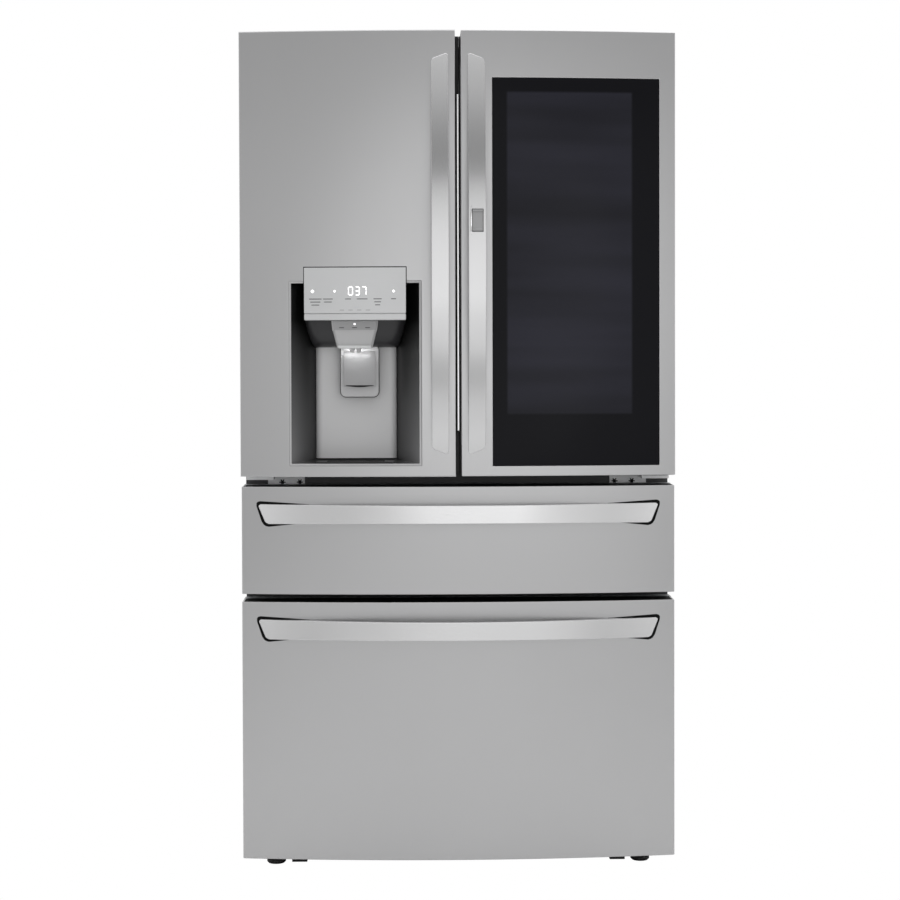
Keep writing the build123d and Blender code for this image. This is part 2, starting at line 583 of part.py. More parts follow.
CORE_INSET = SKIN + 0.3
core_low, core_high = LEFT_OUT + SKIN + 0.3, LEFT_IN - SKIN - 0.3
core_pieces = [
    bowed(core_low, core_high, DOOR_BOTTOM + CAP + 0.3, POCKET_BOTTOM - SEAM, CORE_BACK - 0.2, CORE_INSET),
    bowed(core_low, core_high, POCKET_TOP + SEAM, DOOR_TOP - CAP - 0.3, CORE_BACK - 0.2, CORE_INSET),
    bowed(core_low, POCKET_LEFT - SEAM, POCKET_BOTTOM, POCKET_TOP, CORE_BACK - 0.2, CORE_INSET),
    bowed(POCKET_RIGHT + SEAM, core_high, POCKET_BOTTOM, POCKET_TOP, CORE_BACK - 0.2, CORE_INSET),
]
with BuildPart() as left_door_core:
    for piece in core_pieces:
        add(piece)
    block((POCKET_LEFT, POCKET_BACK + SEAM, POCKET_BOTTOM), (POCKET_RIGHT, CORE_BACK - 0.2, POCKET_TOP))
    for height in (DOOR_TOP - 60, DOOR_BOTTOM + CAP):
        rod((-HINGE_X, HINGE_Y, height), (0, 0, 1), PIN_RADIUS + 1, 60, mode=Mode.SUBTRACT)
left_door_core.part.label = "left_door_core"
export_step(left_door_core.part, "parts/left_door_core.step")


def door_liner(x_low, x_high, rib_low, rib_high, hinge_x, z_low, z_high):
    """A door's moulded inner panel with its side walls, end caps and bin ribs."""
    caps = [
        bowed(x_low, x_high, z_low, z_low + CAP, DOOR_BACK, 1),
        bowed(x_low, x_high, z_high - CAP, z_high, DOOR_BACK, 1),
    ]
    with BuildPart() as piece:
        block((x_low, LINER_EDGE, z_low), (x_high, DOOR_BACK, z_high))
        block(
            (x_low + SKIN, LINER_EDGE, z_low + CAP), (x_high - SKIN, CORE_BACK, z_high - CAP),
            mode=Mode.SUBTRACT,
        )
        for cap in caps:
            add(cap)
        for x in (rib_low, rib_high - 12):
            block((x, DOOR_BACK, z_low + 50), (x + 12, DOOR_BACK + 55, z_high - 80))
        for height in (z_low, z_high - CAP):
            rod((hinge_x, HINGE_Y, height), (0, 0, 1), PIN_RADIUS + PIN_CLEARANCE, CAP, mode=Mode.SUBTRACT)
    return piece.part


RIB_OUT, RIB_IN = 388.0, 66.0
with BuildPart() as left_door_liner:
    add(door_liner(LEFT_OUT, LEFT_IN, -RIB_OUT, -RIB_IN, -HINGE_X, DOOR_BOTTOM, DOOR_TOP))
left_door_liner.part.label = "left_door_liner"
export_step(left_door_liner.part, "parts/left_door_liner.step")

GASKET_OUT, GASKET_IN, GASKET_LOW, GASKET_HIGH = 426.0, 14.0, 830.5, 1722.0
with BuildPart() as left_door_gasket:
    add(gasket(-GASKET_OUT, -GASKET_IN, GASKET_LOW, GASKET_HIGH, DOOR_BACK, GASKET_BACK, GASKET_WIDTH))
left_door_gasket.part.label = "left_door_gasket"
export_step(left_door_gasket.part, "parts/left_door_gasket.step")

with BuildPart() as left_door_handle:
    add(upright_handle(-1))
left_door_handle.part.label = "left_door_handle"
export_step(left_door_handle.part, "parts/left_door_handle.step")

BIN_DEPTH, BIN_WALL = 95.0, 3.0
BIN_LOW_X, BIN_HIGH_X = RIB_IN + 13, RIB_OUT - 13
with BuildPart() as left_door_bins:
    for height in (890, 1085):
        low = (-BIN_HIGH_X, DOOR_BACK + 0.2, height)
        add(tub(low, (-BIN_LOW_X, DOOR_BACK + BIN_DEPTH, height + 110), BIN_WALL, 10))
left_door_bins.part.label = "left_door_bins"
export_step(left_door_bins.part, "parts/left_door_bins.step")

with BuildPart() as ice_maker:
    block((-BIN_HIGH_X, DOOR_BACK + 0.2, 1290), (-BIN_LOW_X, -172, 1660))
    fillet(ice_maker.edges().filter_by(Axis.Z), 10)
    fillet(ice_maker.faces().sort_by(Axis.Y)[-1].edges(), 6)
ice_maker.part.label = "ice_maker"
export_step(ice_maker.part, "parts/ice_maker.step")

# Dispenser: a dark recess that narrows to its back, with a panel over its top edge
housing_block = bowed(
    POCKET_LEFT + 0.3, POCKET_RIGHT - 0.3, POCKET_BOTTOM + 0.3, POCKET_TOP - 0.3, POCKET_BACK
)
RECESS_BACK_HALF = 86.0
with BuildPart() as dispenser_housing:
    add(housing_block)
    recess_middle = (RECESS_BOTTOM + RECESS_TOP) / 2
    recess_height = RECESS_TOP - RECESS_BOTTOM
    with BuildSketch(Plane.XZ.offset(-FRONT)):
        with Locations((DISPENSER_X, recess_middle)):
            RectangleRounded(2 * RECESS_HALF_WIDTH, recess_height, 5)
    with BuildSketch(Plane.XZ.offset(-RECESS_BACK)):
        with Locations((DISPENSER_X, recess_middle - 2)):
            RectangleRounded(2 * RECESS_BACK_HALF, recess_height - 12, 5)
    loft(mode=Mode.SUBTRACT)
    block(
        (DISPENSER_X - 96, front_y(DISPENSER_X - 96, 16), 1096), (DISPENSER_X + 96, RECESS_BACK, 1232)
    )
dispenser_housing.part.label = "dispenser_housing"
export_step(dispenser_housing.part, "parts/dispenser_housing.step")

panel_face = bowed(
    DISPENSER_X - PANEL_HALF_WIDTH, DISPENSER_X + PANEL_HALF_WIDTH, PANEL_BOTTOM, PANEL_TOP,
    FRONT + 60, -4,
)
panel_cut = bowed(
    DISPENSER_X - PANEL_HALF_WIDTH - 5, DISPENSER_X + PANEL_HALF_WIDTH + 5, PANEL_BOTTOM - 5,
    PANEL_TOP + 5, FRONT + 65, -0.3,
)
panel_body = bowed(
    DISPENSER_X - PANEL_HALF_WIDTH, DISPENSER_X + PANEL_HALF_WIDTH, PANEL_BOTTOM, RECESS_TOP - 6,
    FRONT + 60, -4,
)
body_cut = bowed(
    DISPENSER_X - PANEL_HALF_WIDTH - 5, DISPENSER_X + PANEL_HALF_WIDTH + 5, PANEL_BOTTOM - 5,
    PANEL_TOP + 5, FRONT + 65, 8,
)
with BuildPart() as panel_lower:
    add(panel_body)
    add(body_cut, mode=Mode.SUBTRACT)
with BuildPart() as dispenser_panel:
    add(panel_face)
    add(panel_cut, mode=Mode.SUBTRACT)
    add(panel_lower.part)
dispenser_panel.part.label = "dispenser_panel"
export_step(dispenser_panel.part, "parts/dispenser_panel.step")

CHUTE_X, CHUTE_HALF = -216.5, 50.5
with BuildPart() as dispenser_chute:
    with BuildSketch(Plane.XZ.offset(-RECESS_BACK + 76)):
        with BuildLine():
            Polyline(
                (CHUTE_X - CHUTE_HALF + 14, 1093),
                (CHUTE_X - CHUTE_HALF, 1128),
                (CHUTE_X - CHUTE_HALF, 1150),
                (CHUTE_X + CHUTE_HALF, 1150),
                (CHUTE_X + CHUTE_HALF, 1128),
                (CHUTE_X + CHUTE_HALF - 14, 1093),
                close=True,
            )
        make_face()
    extrude(amount=-18)
    for x in (-220, -207):
        rod((x, -388, 1093.5), (0, 0, -1), 4.5, 9)
dispenser_chute.part.label = "dispenser_chute"
export_step(dispenser_chute.part, "parts/dispenser_chute.step")

PADDLE_X, PADDLE_TOP, PADDLE_Y = -206.0, 1090.0, -350.0
with BuildPart() as dispenser_paddle:
    with BuildSketch(Plane.XZ.offset(-PADDLE_Y)):
        with Locations((PADDLE_X, PADDLE_TOP - 49)):
            RectangleRounded(82, 98, 12)
    extrude(amount=4)
    fillet(dispenser_paddle.faces().sort_by(Axis.Y)[0].edges(), 1.2)
    rod((PADDLE_X - 44, PADDLE_Y - 2, PADDLE_TOP - 2), (1, 0, 0), 2, 88)
dispenser_paddle.part.label = "dispenser_paddle"
export_step(dispenser_paddle.part, "parts/dispenser_paddle.step")

FLAP_HINGE_X, FLAP_HINGE_Y = -46.0, -277.0
with BuildPart() as mullion_flap:
    block((FLAP_HINGE_X - 4, -282.5, 858), (1.0, -268, 1684))
    fillet(mullion_flap.edges().filter_by(Axis.Z), 3)
    rod((FLAP_HINGE_X, FLAP_HINGE_Y, 855), (0, 0, 1), 3, 832)
mullion_flap.part.label = "mullion_flap"
export_step(mullion_flap.part, "parts/mullion_flap.step")

# --- Right door: an inner frame with its own bins, and an outer door in front ---------------

FRAME_LOW, FRAME_HIGH = 8.0, 452.0
PASSAGE_LEFT, PASSAGE_RIGHT, PASSAGE_BOTTOM, PASSAGE_TOP = 62.0, 392.0, 880.0, 1690.0
with BuildPart() as right_door_frame:
    frame_bottom, frame_top = DOOR_BOTTOM + 3, DOOR_TOP - 3
    y_low, y_high = INNER_FRAME_FRONT, DOOR_BACK
    block((FRAME_LOW, y_low, frame_bottom), (FRAME_HIGH, y_high, PASSAGE_BOTTOM))
    block((FRAME_LOW, y_low, PASSAGE_TOP), (FRAME_HIGH, y_high, frame_top))
    block((FRAME_LOW, y_low, PASSAGE_BOTTOM + SEAM), (PASSAGE_LEFT, y_high, PASSAGE_TOP - SEAM))
    block((PASSAGE_RIGHT, y_low, PASSAGE_BOTTOM + SEAM), (FRAME_HIGH, y_high, PASSAGE_TOP - SEAM))
    for height in (frame_bottom, frame_top - 20):
        rod((HINGE_X, HINGE_Y, height), (0, 0, 1), PIN_RADIUS + PIN_CLEARANCE, 20, mode=Mode.SUBTRACT)
right_door_frame.part.label = "right_door_frame"
export_step(right_door_frame.part, "parts/right_door_frame.step")

with BuildPart() as right_door_gasket:
    add(gasket(GASKET_IN, GASKET_OUT, GASKET_LOW + 2, GASKET_HIGH, DOOR_BACK, GASKET_BACK, GASKET_WIDTH))
right_door_gasket.part.label = "right_door_gasket"
export_step(right_door_gasket.part, "parts/right_door_gasket.step")

INNER_BIN_HEIGHTS = (888.0, 1100.0, 1296.0, 1473.0)
INNER_BIN_RISE = 105.0
with BuildPart() as right_door_bins:
    for height in INNER_BIN_HEIGHTS:
        add(
            tub(
                (PASSAGE_LEFT + 1, INNER_FRAME_FRONT + 2, height),
                (PASSAGE_RIGHT - 18, DOOR_BACK + 95, height + INNER_BIN_RISE), BIN_WALL, 10,
            )
        )
right_door_bins.part.label = "right_door_bins"
export_step(right_door_bins.part, "parts/right_door_bins.step")

outer_wrap = bowed(HALF_GAP, DOOR_HALF_WIDTH, DOOR_BOTTOM + CAP, DOOR_TOP - CAP, OUTER_DOOR_BACK)
outer_inside = bowed(
    HALF_GAP + SKIN, DOOR_HALF_WIDTH - SKIN, DOOR_BOTTOM, DOOR_TOP, OUTER_DOOR_BACK, SKIN
)
with BuildPart() as outer_door_skin:
    add(outer_wrap)
    add(outer_inside, mode=Mode.SUBTRACT)
    block(
        (GLASS_LEFT - 0.5, FRONT - 10, GLASS_BOTTOM - 0.5),
        (GLASS_RIGHT + 0.5, FRONT + 40, GLASS_TOP + 0.5),
        mode=Mode.SUBTRACT,
    )
outer_door_skin.part.label = "outer_door_skin"
export_step(outer_door_skin.part, "parts/outer_door_skin.step")

GLASS_THICKNESS = 4.0
glass_front = bowed(GLASS_LEFT, GLASS_RIGHT, GLASS_BOTTOM, GLASS_TOP, FRONT + 50, 0.2)
glass_behind = bowed(
    GLASS_LEFT - 1, GLASS_RIGHT + 1, GLASS_BOTTOM - 1, GLASS_TOP + 1, FRONT + 55,
    0.2 + GLASS_THICKNESS,
)
with BuildPart() as outer_door_glass:
    add(glass_front)
    add(glass_behind, mode=Mode.SUBTRACT)
outer_door_glass.part.label = "outer_door_glass"
export_step(outer_door_glass.part, "parts/outer_door_glass.step")

OUTER_INSET = 5.0
outer_low, outer_high = HALF_GAP + SKIN + 0.3, DOOR_HALF_WIDTH - SKIN - 0.3
outer_pieces = [
    bowed(outer_low, outer_high, DOOR_BOTTOM, WINDOW_BOTTOM, OUTER_DOOR_BACK, OUTER_INSET),
    bowed(outer_low, outer_high, WINDOW_TOP, DOOR_TOP, OUTER_DOOR_BACK, OUTER_INSET),
    bowed(outer_low, WINDOW_LEFT, WINDOW_BOTTOM + SEAM, WINDOW_TOP - SEAM, OUTER_DOOR_BACK, OUTER_INSET),
    bowed(WINDOW_RIGHT, outer_high, WINDOW_BOTTOM + SEAM, WINDOW_TOP - SEAM, OUTER_DOOR_BACK, OUTER_INSET),
]
with BuildPart() as outer_door_core:
    for piece in outer_pieces:
        add(piece)
outer_door_core.part.label = "outer_door_core"
export_step(outer_door_core.part, "parts/outer_door_core.step")

with BuildPart() as outer_door_gasket:
    add(gasket(24, 425, 838, 1742, OUTER_DOOR_BACK, INNER_FRAME_FRONT - 0.4, 16))
outer_door_gasket.part.label = "outer_door_gasket"
export_step(outer_door_gasket.part, "parts/outer_door_gasket.step")

with BuildPart() as right_door_handle:
    add(upright_handle(1))
    block(
        (BUTTON_X - BUTTON_WIDTH / 2 - 0.5, HANDLE_FRONT - 5, BUTTON_Z - BUTTON_HEIGHT / 2 - 0.5),
        (BUTTON_X + BUTTON_WIDTH / 2 + 0.5, HANDLE_FRONT + 30, BUTTON_Z + BUTTON_HEIGHT / 2 + 0.5),
        mode=Mode.SUBTRACT,
    )
right_door_handle.part.label = "right_door_handle"
export_step(right_door_handle.part, "parts/right_door_handle.step")

with BuildPart() as release_button:
    block(
        (BUTTON_X - BUTTON_WIDTH / 2, HANDLE_FRONT + 3, BUTTON_Z - BUTTON_HEIGHT / 2),
        (BUTTON_X + BUTTON_WIDTH / 2, HANDLE_FRONT + 13, BUTTON_Z + BUTTON_HEIGHT / 2),
    )
    fillet(release_button.edges().filter_by(Axis.Y), 3)
release_button.part.label = "release_button"
export_step(release_button.part, "parts/release_button.step")

# --- Drawers -------------------------------------------------------------------------------

DRAWERS = {
    "middle": {
        "front": (MIDDLE_BOTTOM, MIDDLE_TOP),
        "gasket": (MIDDLE_FLOOR - 22, MIDDLE_ROOF + 20),
        "bin": (622.0, 758.0, 250.0),
    },
    "freezer": {
        "front": (FREEZER_BOTTOM, FREEZER_TOP),
        "gasket": (FREEZER_FLOOR - 22, FREEZER_ROOF + 20),
        "bin": (92.0, 400.0, 142.0),
    },
}
BIN_HALF = 374.0
for name, drawer in DRAWERS.items():
    z_low, z_high = drawer["front"]
    wrap = bowed(-DRAWER_HALF_WIDTH, DRAWER_HALF_WIDTH, z_low, z_high, LINER_EDGE)
    inside = bowed(
        -DRAWER_HALF_WIDTH + SKIN, DRAWER_HALF_WIDTH - SKIN, z_low + SKIN, z_high - SKIN,
        LINER_EDGE, SKIN,
    )
    with BuildPart() as drawer_skin:
        add(wrap)
        add(inside, mode=Mode.SUBTRACT)
    drawer_skin.part.label = f"{name}_drawer_skin"
    export_step(drawer_skin.part, f"parts/{name}_drawer_skin.step")

    core_front = bowed(
        -DRAWER_HALF_WIDTH + SKIN + 0.3, DRAWER_HALF_WIDTH - SKIN - 0.3, z_low + SKIN + 0.3,
        z_high - SKIN - 0.3, LINER_EDGE, SKIN + 0.3,
    )
    with BuildPart() as drawer_core:
        add(core_front)
        block((-DRAWER_HALF_WIDTH, LINER_EDGE, z_low), (DRAWER_HALF_WIDTH, DOOR_BACK, z_high))
    drawer_core.part.label = f"{name}_drawer_core"
    export_step(drawer_core.part, f"parts/{name}_drawer_core.step")

    gasket_low, gasket_high = drawer["gasket"]
    with BuildPart() as drawer_gasket:
        add(gasket(-GASKET_OUT, GASKET_OUT, gasket_low, gasket_high, DOOR_BACK, GASKET_BACK, 18))
    drawer_gasket.part.label = f"{name}_drawer_gasket"
    export_step(drawer_gasket.part, f"parts/{name}_drawer_gasket.step")

    with BuildPart() as drawer_handle:
        add(drawer_pull(z_high - PULL_TOP_DROP))
    drawer_handle.part.label = f"{name}_drawer_handle"
    export_step(drawer_handle.part, f"parts/{name}_drawer_handle.step")

    bin_low, bin_high, bin_back = drawer["bin"]
    with BuildPart() as drawer_bin:
        add(tub((-BIN_HALF, DOOR_BACK + 12, bin_low), (BIN_HALF, bin_back, bin_high), 4, 16))
    drawer_bin.part.label = f"{name}_drawer_bin"
    export_step(drawer_bin.part, f"parts/{name}_drawer_bin.step")

    rail_height = RAIL_HEIGHTS[name]
    with BuildPart() as drawer_rails:
        for side, sign in SIDES:
            x_low, x_high = sorted((sign * 378.0, sign * 387.8))
            block(
                (x_low, DOOR_BACK + 0.2, rail_height - 11),
                (x_high, RAIL_LENGTH[name][1] - 5, rail_height + 11),
            )
    drawer_rails.part.label = f"{name}_drawer_rails"
    export_step(drawer_rails.part, f"parts/{name}_drawer_rails.step")
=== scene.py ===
"""Looks of the french door refrigerator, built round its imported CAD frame. Metres, +Z up,
doors facing -Y."""

import math

import bmesh
import bpy
from mathutils import Euler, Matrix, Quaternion, Vector


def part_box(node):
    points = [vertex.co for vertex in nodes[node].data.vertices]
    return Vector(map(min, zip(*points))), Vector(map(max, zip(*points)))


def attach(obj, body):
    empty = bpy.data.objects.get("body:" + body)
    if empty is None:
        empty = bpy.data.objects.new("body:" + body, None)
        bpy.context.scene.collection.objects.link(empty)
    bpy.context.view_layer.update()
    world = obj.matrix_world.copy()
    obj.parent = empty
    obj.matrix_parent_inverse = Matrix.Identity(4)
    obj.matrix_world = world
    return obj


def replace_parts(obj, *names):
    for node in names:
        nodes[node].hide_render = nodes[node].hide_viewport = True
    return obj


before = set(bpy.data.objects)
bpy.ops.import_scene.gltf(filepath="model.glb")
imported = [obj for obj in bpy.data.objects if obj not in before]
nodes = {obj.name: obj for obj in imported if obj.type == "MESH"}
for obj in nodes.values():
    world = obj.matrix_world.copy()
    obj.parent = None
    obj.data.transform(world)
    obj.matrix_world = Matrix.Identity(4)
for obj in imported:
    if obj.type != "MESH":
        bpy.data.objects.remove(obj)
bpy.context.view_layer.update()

# --- Driving sizes, read from the frame ----------------------------------------------------

MM = 0.001
left_skin_low, left_skin_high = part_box("left_door_skin")
outer_low, outer_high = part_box("outer_door_skin")
FRONT = left_skin_low[1]
DOOR_HALF = -left_skin_low[0]
BOW_DEPTH = 28 * MM
BOW_RADIUS = (DOOR_HALF**2 + BOW_DEPTH**2) / (2 * BOW_DEPTH)
BOW_CENTRE = FRONT + BOW_RADIUS
LINER_EDGE = left_skin_high[1]
DOOR_LOW, DOOR_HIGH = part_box("left_door_liner")[0][2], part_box("left_door_liner")[1][2]


def front_y(x, inset=0.0):
    """The bowed front's y at x, or that of a surface lying inset behind it."""
    return BOW_CENTRE - math.sqrt((BOW_RADIUS - inset) ** 2 - x**2)


# --- Materials -----------------------------------------------------------------------------


def new_material(name, color, roughness, metallic=0.0, **sockets):
    """A principled material with constant values on its sockets."""
    made = bpy.data.materials.new(name)
    made.use_nodes = True
    shader = made.node_tree.nodes["Principled BSDF"]
    shader.inputs["Base Color"].default_value = (*color, 1)
    shader.inputs["Roughness"].default_value = roughness
    shader.inputs["Metallic"].default_value = metallic
    for socket, value in sockets.items():
        shader.inputs[socket.replace("_", " ")].default_value = value
    return made


def shader_input(made, socket):
    """One input socket of a material's principled shader."""
    return made.node_tree.nodes["Principled BSDF"].inputs[socket]


def add_noise(made, scale, detail=4.0, stretch=(1, 1, 1)):
    """A noise over object space, stretched along some axes. Returns its factor output."""
    tree = made.node_tree
    place = tree.nodes.new("ShaderNodeTexCoord")
    mapping = tree.nodes.new("ShaderNodeMapping")
    mapping.inputs["Scale"].default_value = stretch
    noise = tree.nodes.new("ShaderNodeTexNoise")
    noise.inputs["Scale"].default_value = scale
    noise.inputs["Detail"].default_value = detail
    tree.links.new(place.outputs["Object"], mapping.inputs["Vector"])
    tree.links.new(mapping.outputs["Vector"], noise.inputs["Vector"])
    return noise.outputs["Fac"]


def ramped(tree, value, start, end, low=0.0, high=1.0):
    """Spreads a value between two limits over a range. Returns the output."""
    ramp = tree.nodes.new("ShaderNodeMapRange")
    for socket, limit in (("From Min", start), ("From Max", end), ("To Min", low), ("To Max", high)):
        ramp.inputs[socket].default_value = limit
    tree.links.new(value, ramp.inputs["Value"])
    return ramp.outputs["Result"]


def combined(tree, operation, first, second=None, constant=0.0):
    """One math node on one or two outputs, or on an output and a constant."""
    math_node = tree.nodes.new("ShaderNodeMath")
    math_node.operation = operation
    tree.links.new(first, math_node.inputs[0])
    if second is not None:
        tree.links.new(second, math_node.inputs[1])
    else:
        math_node.inputs[1].default_value = constant
    return math_node.outputs["Value"]


def object_axes(tree):
    """The x, y and z outputs of a place in object space."""
    place = tree.nodes.new("ShaderNodeTexCoord")
    split = tree.nodes.new("ShaderNodeSeparateXYZ")
    tree.links.new(place.outputs["Object"], split.inputs["Vector"])
    return split.outputs


def add_bump(made, height, strength, distance):
    """Bumps a material by a height output."""
    tree = made.node_tree
    bump = tree.nodes.new("ShaderNodeBump")
    bump.inputs["Strength"].default_value = strength
    bump.inputs["Distance"].default_value = distance
    tree.links.new(height, bump.inputs["Height"])
    tree.links.new(bump.outputs["Normal"], shader_input(made, "Normal"))


def add_range(made, factor, socket, low, high):
    """Spreads a factor over a range of values on one of the shader's sockets."""
    spread = ramped(made.node_tree, factor, 0.3, 0.7, low, high)
    made.node_tree.links.new(spread, shader_input(made, socket))


def mix_colors(tree, factor, first, second):
    """Mixes two colours, each a value or an output, by a factor. Returns the mix."""
    mix = tree.nodes.new("ShaderNodeMix")
    mix.data_type = "RGBA"
    for socket, color in ((6, first), (7, second)):
        if isinstance(color, tuple):
            mix.inputs[socket].default_value = (*color, 1)
        else:
            tree.links.new(color, mix.inputs[socket])
    tree.links.new(factor, mix.inputs[0])
    return mix.outputs[2]


def add_tint(made, factor, dark, light):
    """Varies a material's colour between two colours by a factor."""
    mixed = mix_colors(made.node_tree, factor, tuple(dark), tuple(light))
    made.node_tree.links.new(mixed, shader_input(made, "Base Color"))


def brushed(name, color, roughness, along, grain=0.10):
    """Brushed metal: fine scratches that run along one axis, and a faint cloudiness."""
    made = new_material(name, color, roughness, metallic=1.0)
    across = [1.0, 1.0, 1.0]
    across["xyz".index(along)] = 0.006
    scratches = add_noise(made, 2200, 3, across)
    add_bump(made, scratches, grain, 0.00006)
    add_range(made, scratches, "Roughness", roughness - 0.04, roughness + 0.04)
    clouds = add_noise(made, 4, 2)
    add_tint(made, clouds, [c * 0.98 for c in color], [min(1, c * 1.02) for c in color])
    return made


def moulded(name, color, roughness, grain=900, depth=0.00006, **sockets):
    """Moulded plastic with a fine spark-eroded grain."""
    made = new_material(name, color, roughness, **sockets)
    add_bump(made, add_noise(made, grain, 5), 0.25, depth)
    clouds = add_noise(made, 5, 2)
    add_range(made, clouds, "Roughness", roughness - 0.012, roughness + 0.015)
    add_tint(made, clouds, [c * 0.99 for c in color], [min(1, c * 1.01) for c in color])
    return made


def recess_black_with_painted_light(middle, inner, outer, z_low, z_high):
    """Black plastic of the recess with painted light: greyer low down and towards its mouth as a painted
    reflection of the floor and tray, and black up high and deep in as painted shade under the panel and cowl.
    """
    made = moulded("recess_black_with_painted_light", (0.02, 0.02, 0.02), 0.36, Specular_IOR_Level=0.25)
    tree = made.node_tree
    axes = object_axes(tree)
    lowness = ramped(tree, axes["Z"], z_high, z_low)
    sideways = combined(tree, "SUBTRACT", axes["X"], constant=middle)
    distance = combined(tree, "ABSOLUTE", sideways)
    mouth = ramped(tree, distance, inner, outer, 0.12, 1.0)
    factor = combined(tree, "MULTIPLY", lowness, mouth)
    # Painted light: near-black where shade falls up high and deep in, a lighter grey painted reflection low
    # down towards the mouth.
    color = mix_colors(tree, factor, (0.002, 0.002, 0.002), (0.17, 0.17, 0.173))
    tree.links.new(color, shader_input(made, "Base Color"))
    return made


def clear(name, color, roughness=0.05, transmission=0.92):
    """Clear moulded plastic or glass, lightly uneven."""
    made = new_material(name, color, roughness, Transmission_Weight=transmission, IOR=1.45)
    add_bump(made, add_noise(made, 40, 2), 0.03, 0.0002)
    return made


def ribbed_sheet(name, color, roughness, pitch):
    """Zinc sheet pressed with broad upright ribs, and its spangled finish."""
    made = new_material(name, color, roughness, metallic=0.9)
    tree = made.node_tree
    place = tree.nodes.new("ShaderNodeTexCoord")
    wave = tree.nodes.new("ShaderNodeTexWave")
    wave.bands_direction = "X"
    wave.inputs["Scale"].default_value = 0.314 / pitch
    tree.links.new(place.outputs["Object"], wave.inputs["Vector"])
    add_bump(made, wave.outputs["Fac"], 0.6, 0.004)
    spangle = tree.nodes.new("ShaderNodeTexVoronoi")
    spangle.inputs["Scale"].default_value = 90
    tree.links.new(place.outputs["Object"], spangle.inputs["Vector"])
    grey = tree.nodes.new("ShaderNodeRGBToBW")
    tree.links.new(spangle.outputs["Color"], grey.inputs["Color"])
    add_range(made, grey.outputs["Val"], "Roughness", roughness - 0.06, roughness + 0.08)
    return made


def within(tree, value, low, high, softness):
    """1 where a value lies between two limits, with soft edges, and 0 outside them."""
    rising = ramped(tree, value, low, low + softness)
    falling = ramped(tree, value, high, high - softness)
    return combined(tree, "MULTIPLY", rising, falling)


WINDOW_X = (99 * MM, 364.5 * MM)
WINDOW_Z = (954 * MM, 1625 * MM)


def window_glass():
    """Dark mirrored glass: a black border printed round a slightly lighter, bluish window with
    the faint level lines of the bins behind it."""
    made = new_material("dark_mirror_glass", (0.008, 0.008, 0.010), 0.16, Specular_IOR_Level=0.10)
    tree = made.node_tree
    axes = object_axes(tree)
    across = within(tree, axes["X"], *WINDOW_X, 5 * MM)
    along = within(tree, axes["Z"], *WINDOW_Z, 5 * MM)
    mask = combined(tree, "MULTIPLY", across, along)
    levels = ramped(tree, add_noise(made, 14, 1.5, (0.10, 0.1, 1.0)), 0.35, 0.65)
    seen = mix_colors(tree, levels, (0.016, 0.016, 0.021), (0.028, 0.028, 0.039))
    color = mix_colors(tree, mask, (0.006, 0.006, 0.008), seen)
    tree.links.new(color, shader_input(made, "Base Color"))
    return made


steel = brushed("brushed_steel_upright", (0.60, 0.60, 0.605), 0.33, "z")
handle_steel = brushed("brushed_steel_bar", (0.70, 0.70, 0.705), 0.19, "z", 0.05)
pull_steel = brushed("brushed_steel_pull", (0.79, 0.79, 0.795), 0.24, "x", 0.05)
zinc = moulded("zinc_plate", (0.93, 0.93, 0.94), 0.30, 500, 0.00004, Metallic=0.2)
galvanised = brushed("galvanised_sheet", (0.55, 0.56, 0.57), 0.42, "z")
rear_sheet = ribbed_sheet("ribbed_rear_sheet", (0.50, 0.51, 0.52), 0.40, 0.11)
cabinet_paint = moulded("textured_grey_enamel", (0.055, 0.055, 0.058), 0.42, 450, 0.00018)
white_plastic = moulded("white_liner", (0.80, 0.81, 0.81), 0.28)
frame_plastic = moulded("silver_frame_plastic", (0.42, 0.43, 0.44), 0.38)
light_plastic = moulded("silver_plastic", (0.52, 0.52, 0.525), 0.34)
pad_plastic = moulded("paddle_silver", (0.34, 0.34, 0.345), 0.28)
back_plastic = moulded("recess_silver", (0.66, 0.66, 0.665), 0.34)
panel_plastic = moulded(
    "panel_silver", (0.66, 0.665, 0.67), 0.30, grain=1500, depth=0.00002, Metallic=0.3
)
button_plastic = moulded("button_grey", (0.38, 0.38, 0.385), 0.30)
strip_chrome = new_material("bright_strip", (0.93, 0.93, 0.935), 0.22, metallic=1.0)
add_bump(strip_chrome, add_noise(strip_chrome, 300, 3), 0.05, 0.00003)
band_plastic = moulded("band_grey", (0.34, 0.34, 0.345), 0.38)
dark_plastic = moulded("black_plastic", (0.012, 0.012, 0.013), 0.34)
cowl_plastic = moulded("dark_grey_plastic", (0.026, 0.026, 0.028), 0.40)
# The recess walls carry painted shade up high and deep in, and a painted reflection low down.
recess_plastic_with_painted_light = recess_black_with_painted_light(-213.5 * MM, 84 * MM, 132 * MM, 880 * MM, 1150 * MM)
# Near-black for real grooves, slots, pockets and sockets, and for the painted shadow lines round the control
# panel, round the paddle and along the drawer tops.
groove_and_shadow_black = moulded(
    "groove_and_shadow_black", (0.003, 0.003, 0.003), 0.5, depth=0.00001, Specular_IOR_Level=0.12
)
legend_grey = moulded("legend_grey", (0.055, 0.055, 0.06), 0.5, depth=0.00001)
glow = moulded("display_glow", (0.9, 0.9, 0.9), 0.4, Emission_Color=(1, 1, 1, 1), Emission_Strength=1.1)
black_enamel = moulded("black_enamel", (0.012, 0.012, 0.012), 0.35, 300, 0.0001)
foot_black = moulded("foot_rubber", (0.012, 0.012, 0.012), 0.55)
seal = moulded("seal_rubber", (0.045, 0.045, 0.047), 0.55)
foam = moulded("foam_core", (0.62, 0.55, 0.35), 0.8, 160, 0.0006)
fins = brushed("bare_fins", (0.68, 0.69, 0.70), 0.35, "z")
clear_plastic = clear("clear_bin", (0.93, 0.96, 0.98))
rim_plastic = moulded("bin_rim_grey", (0.62, 0.64, 0.66), 0.30)
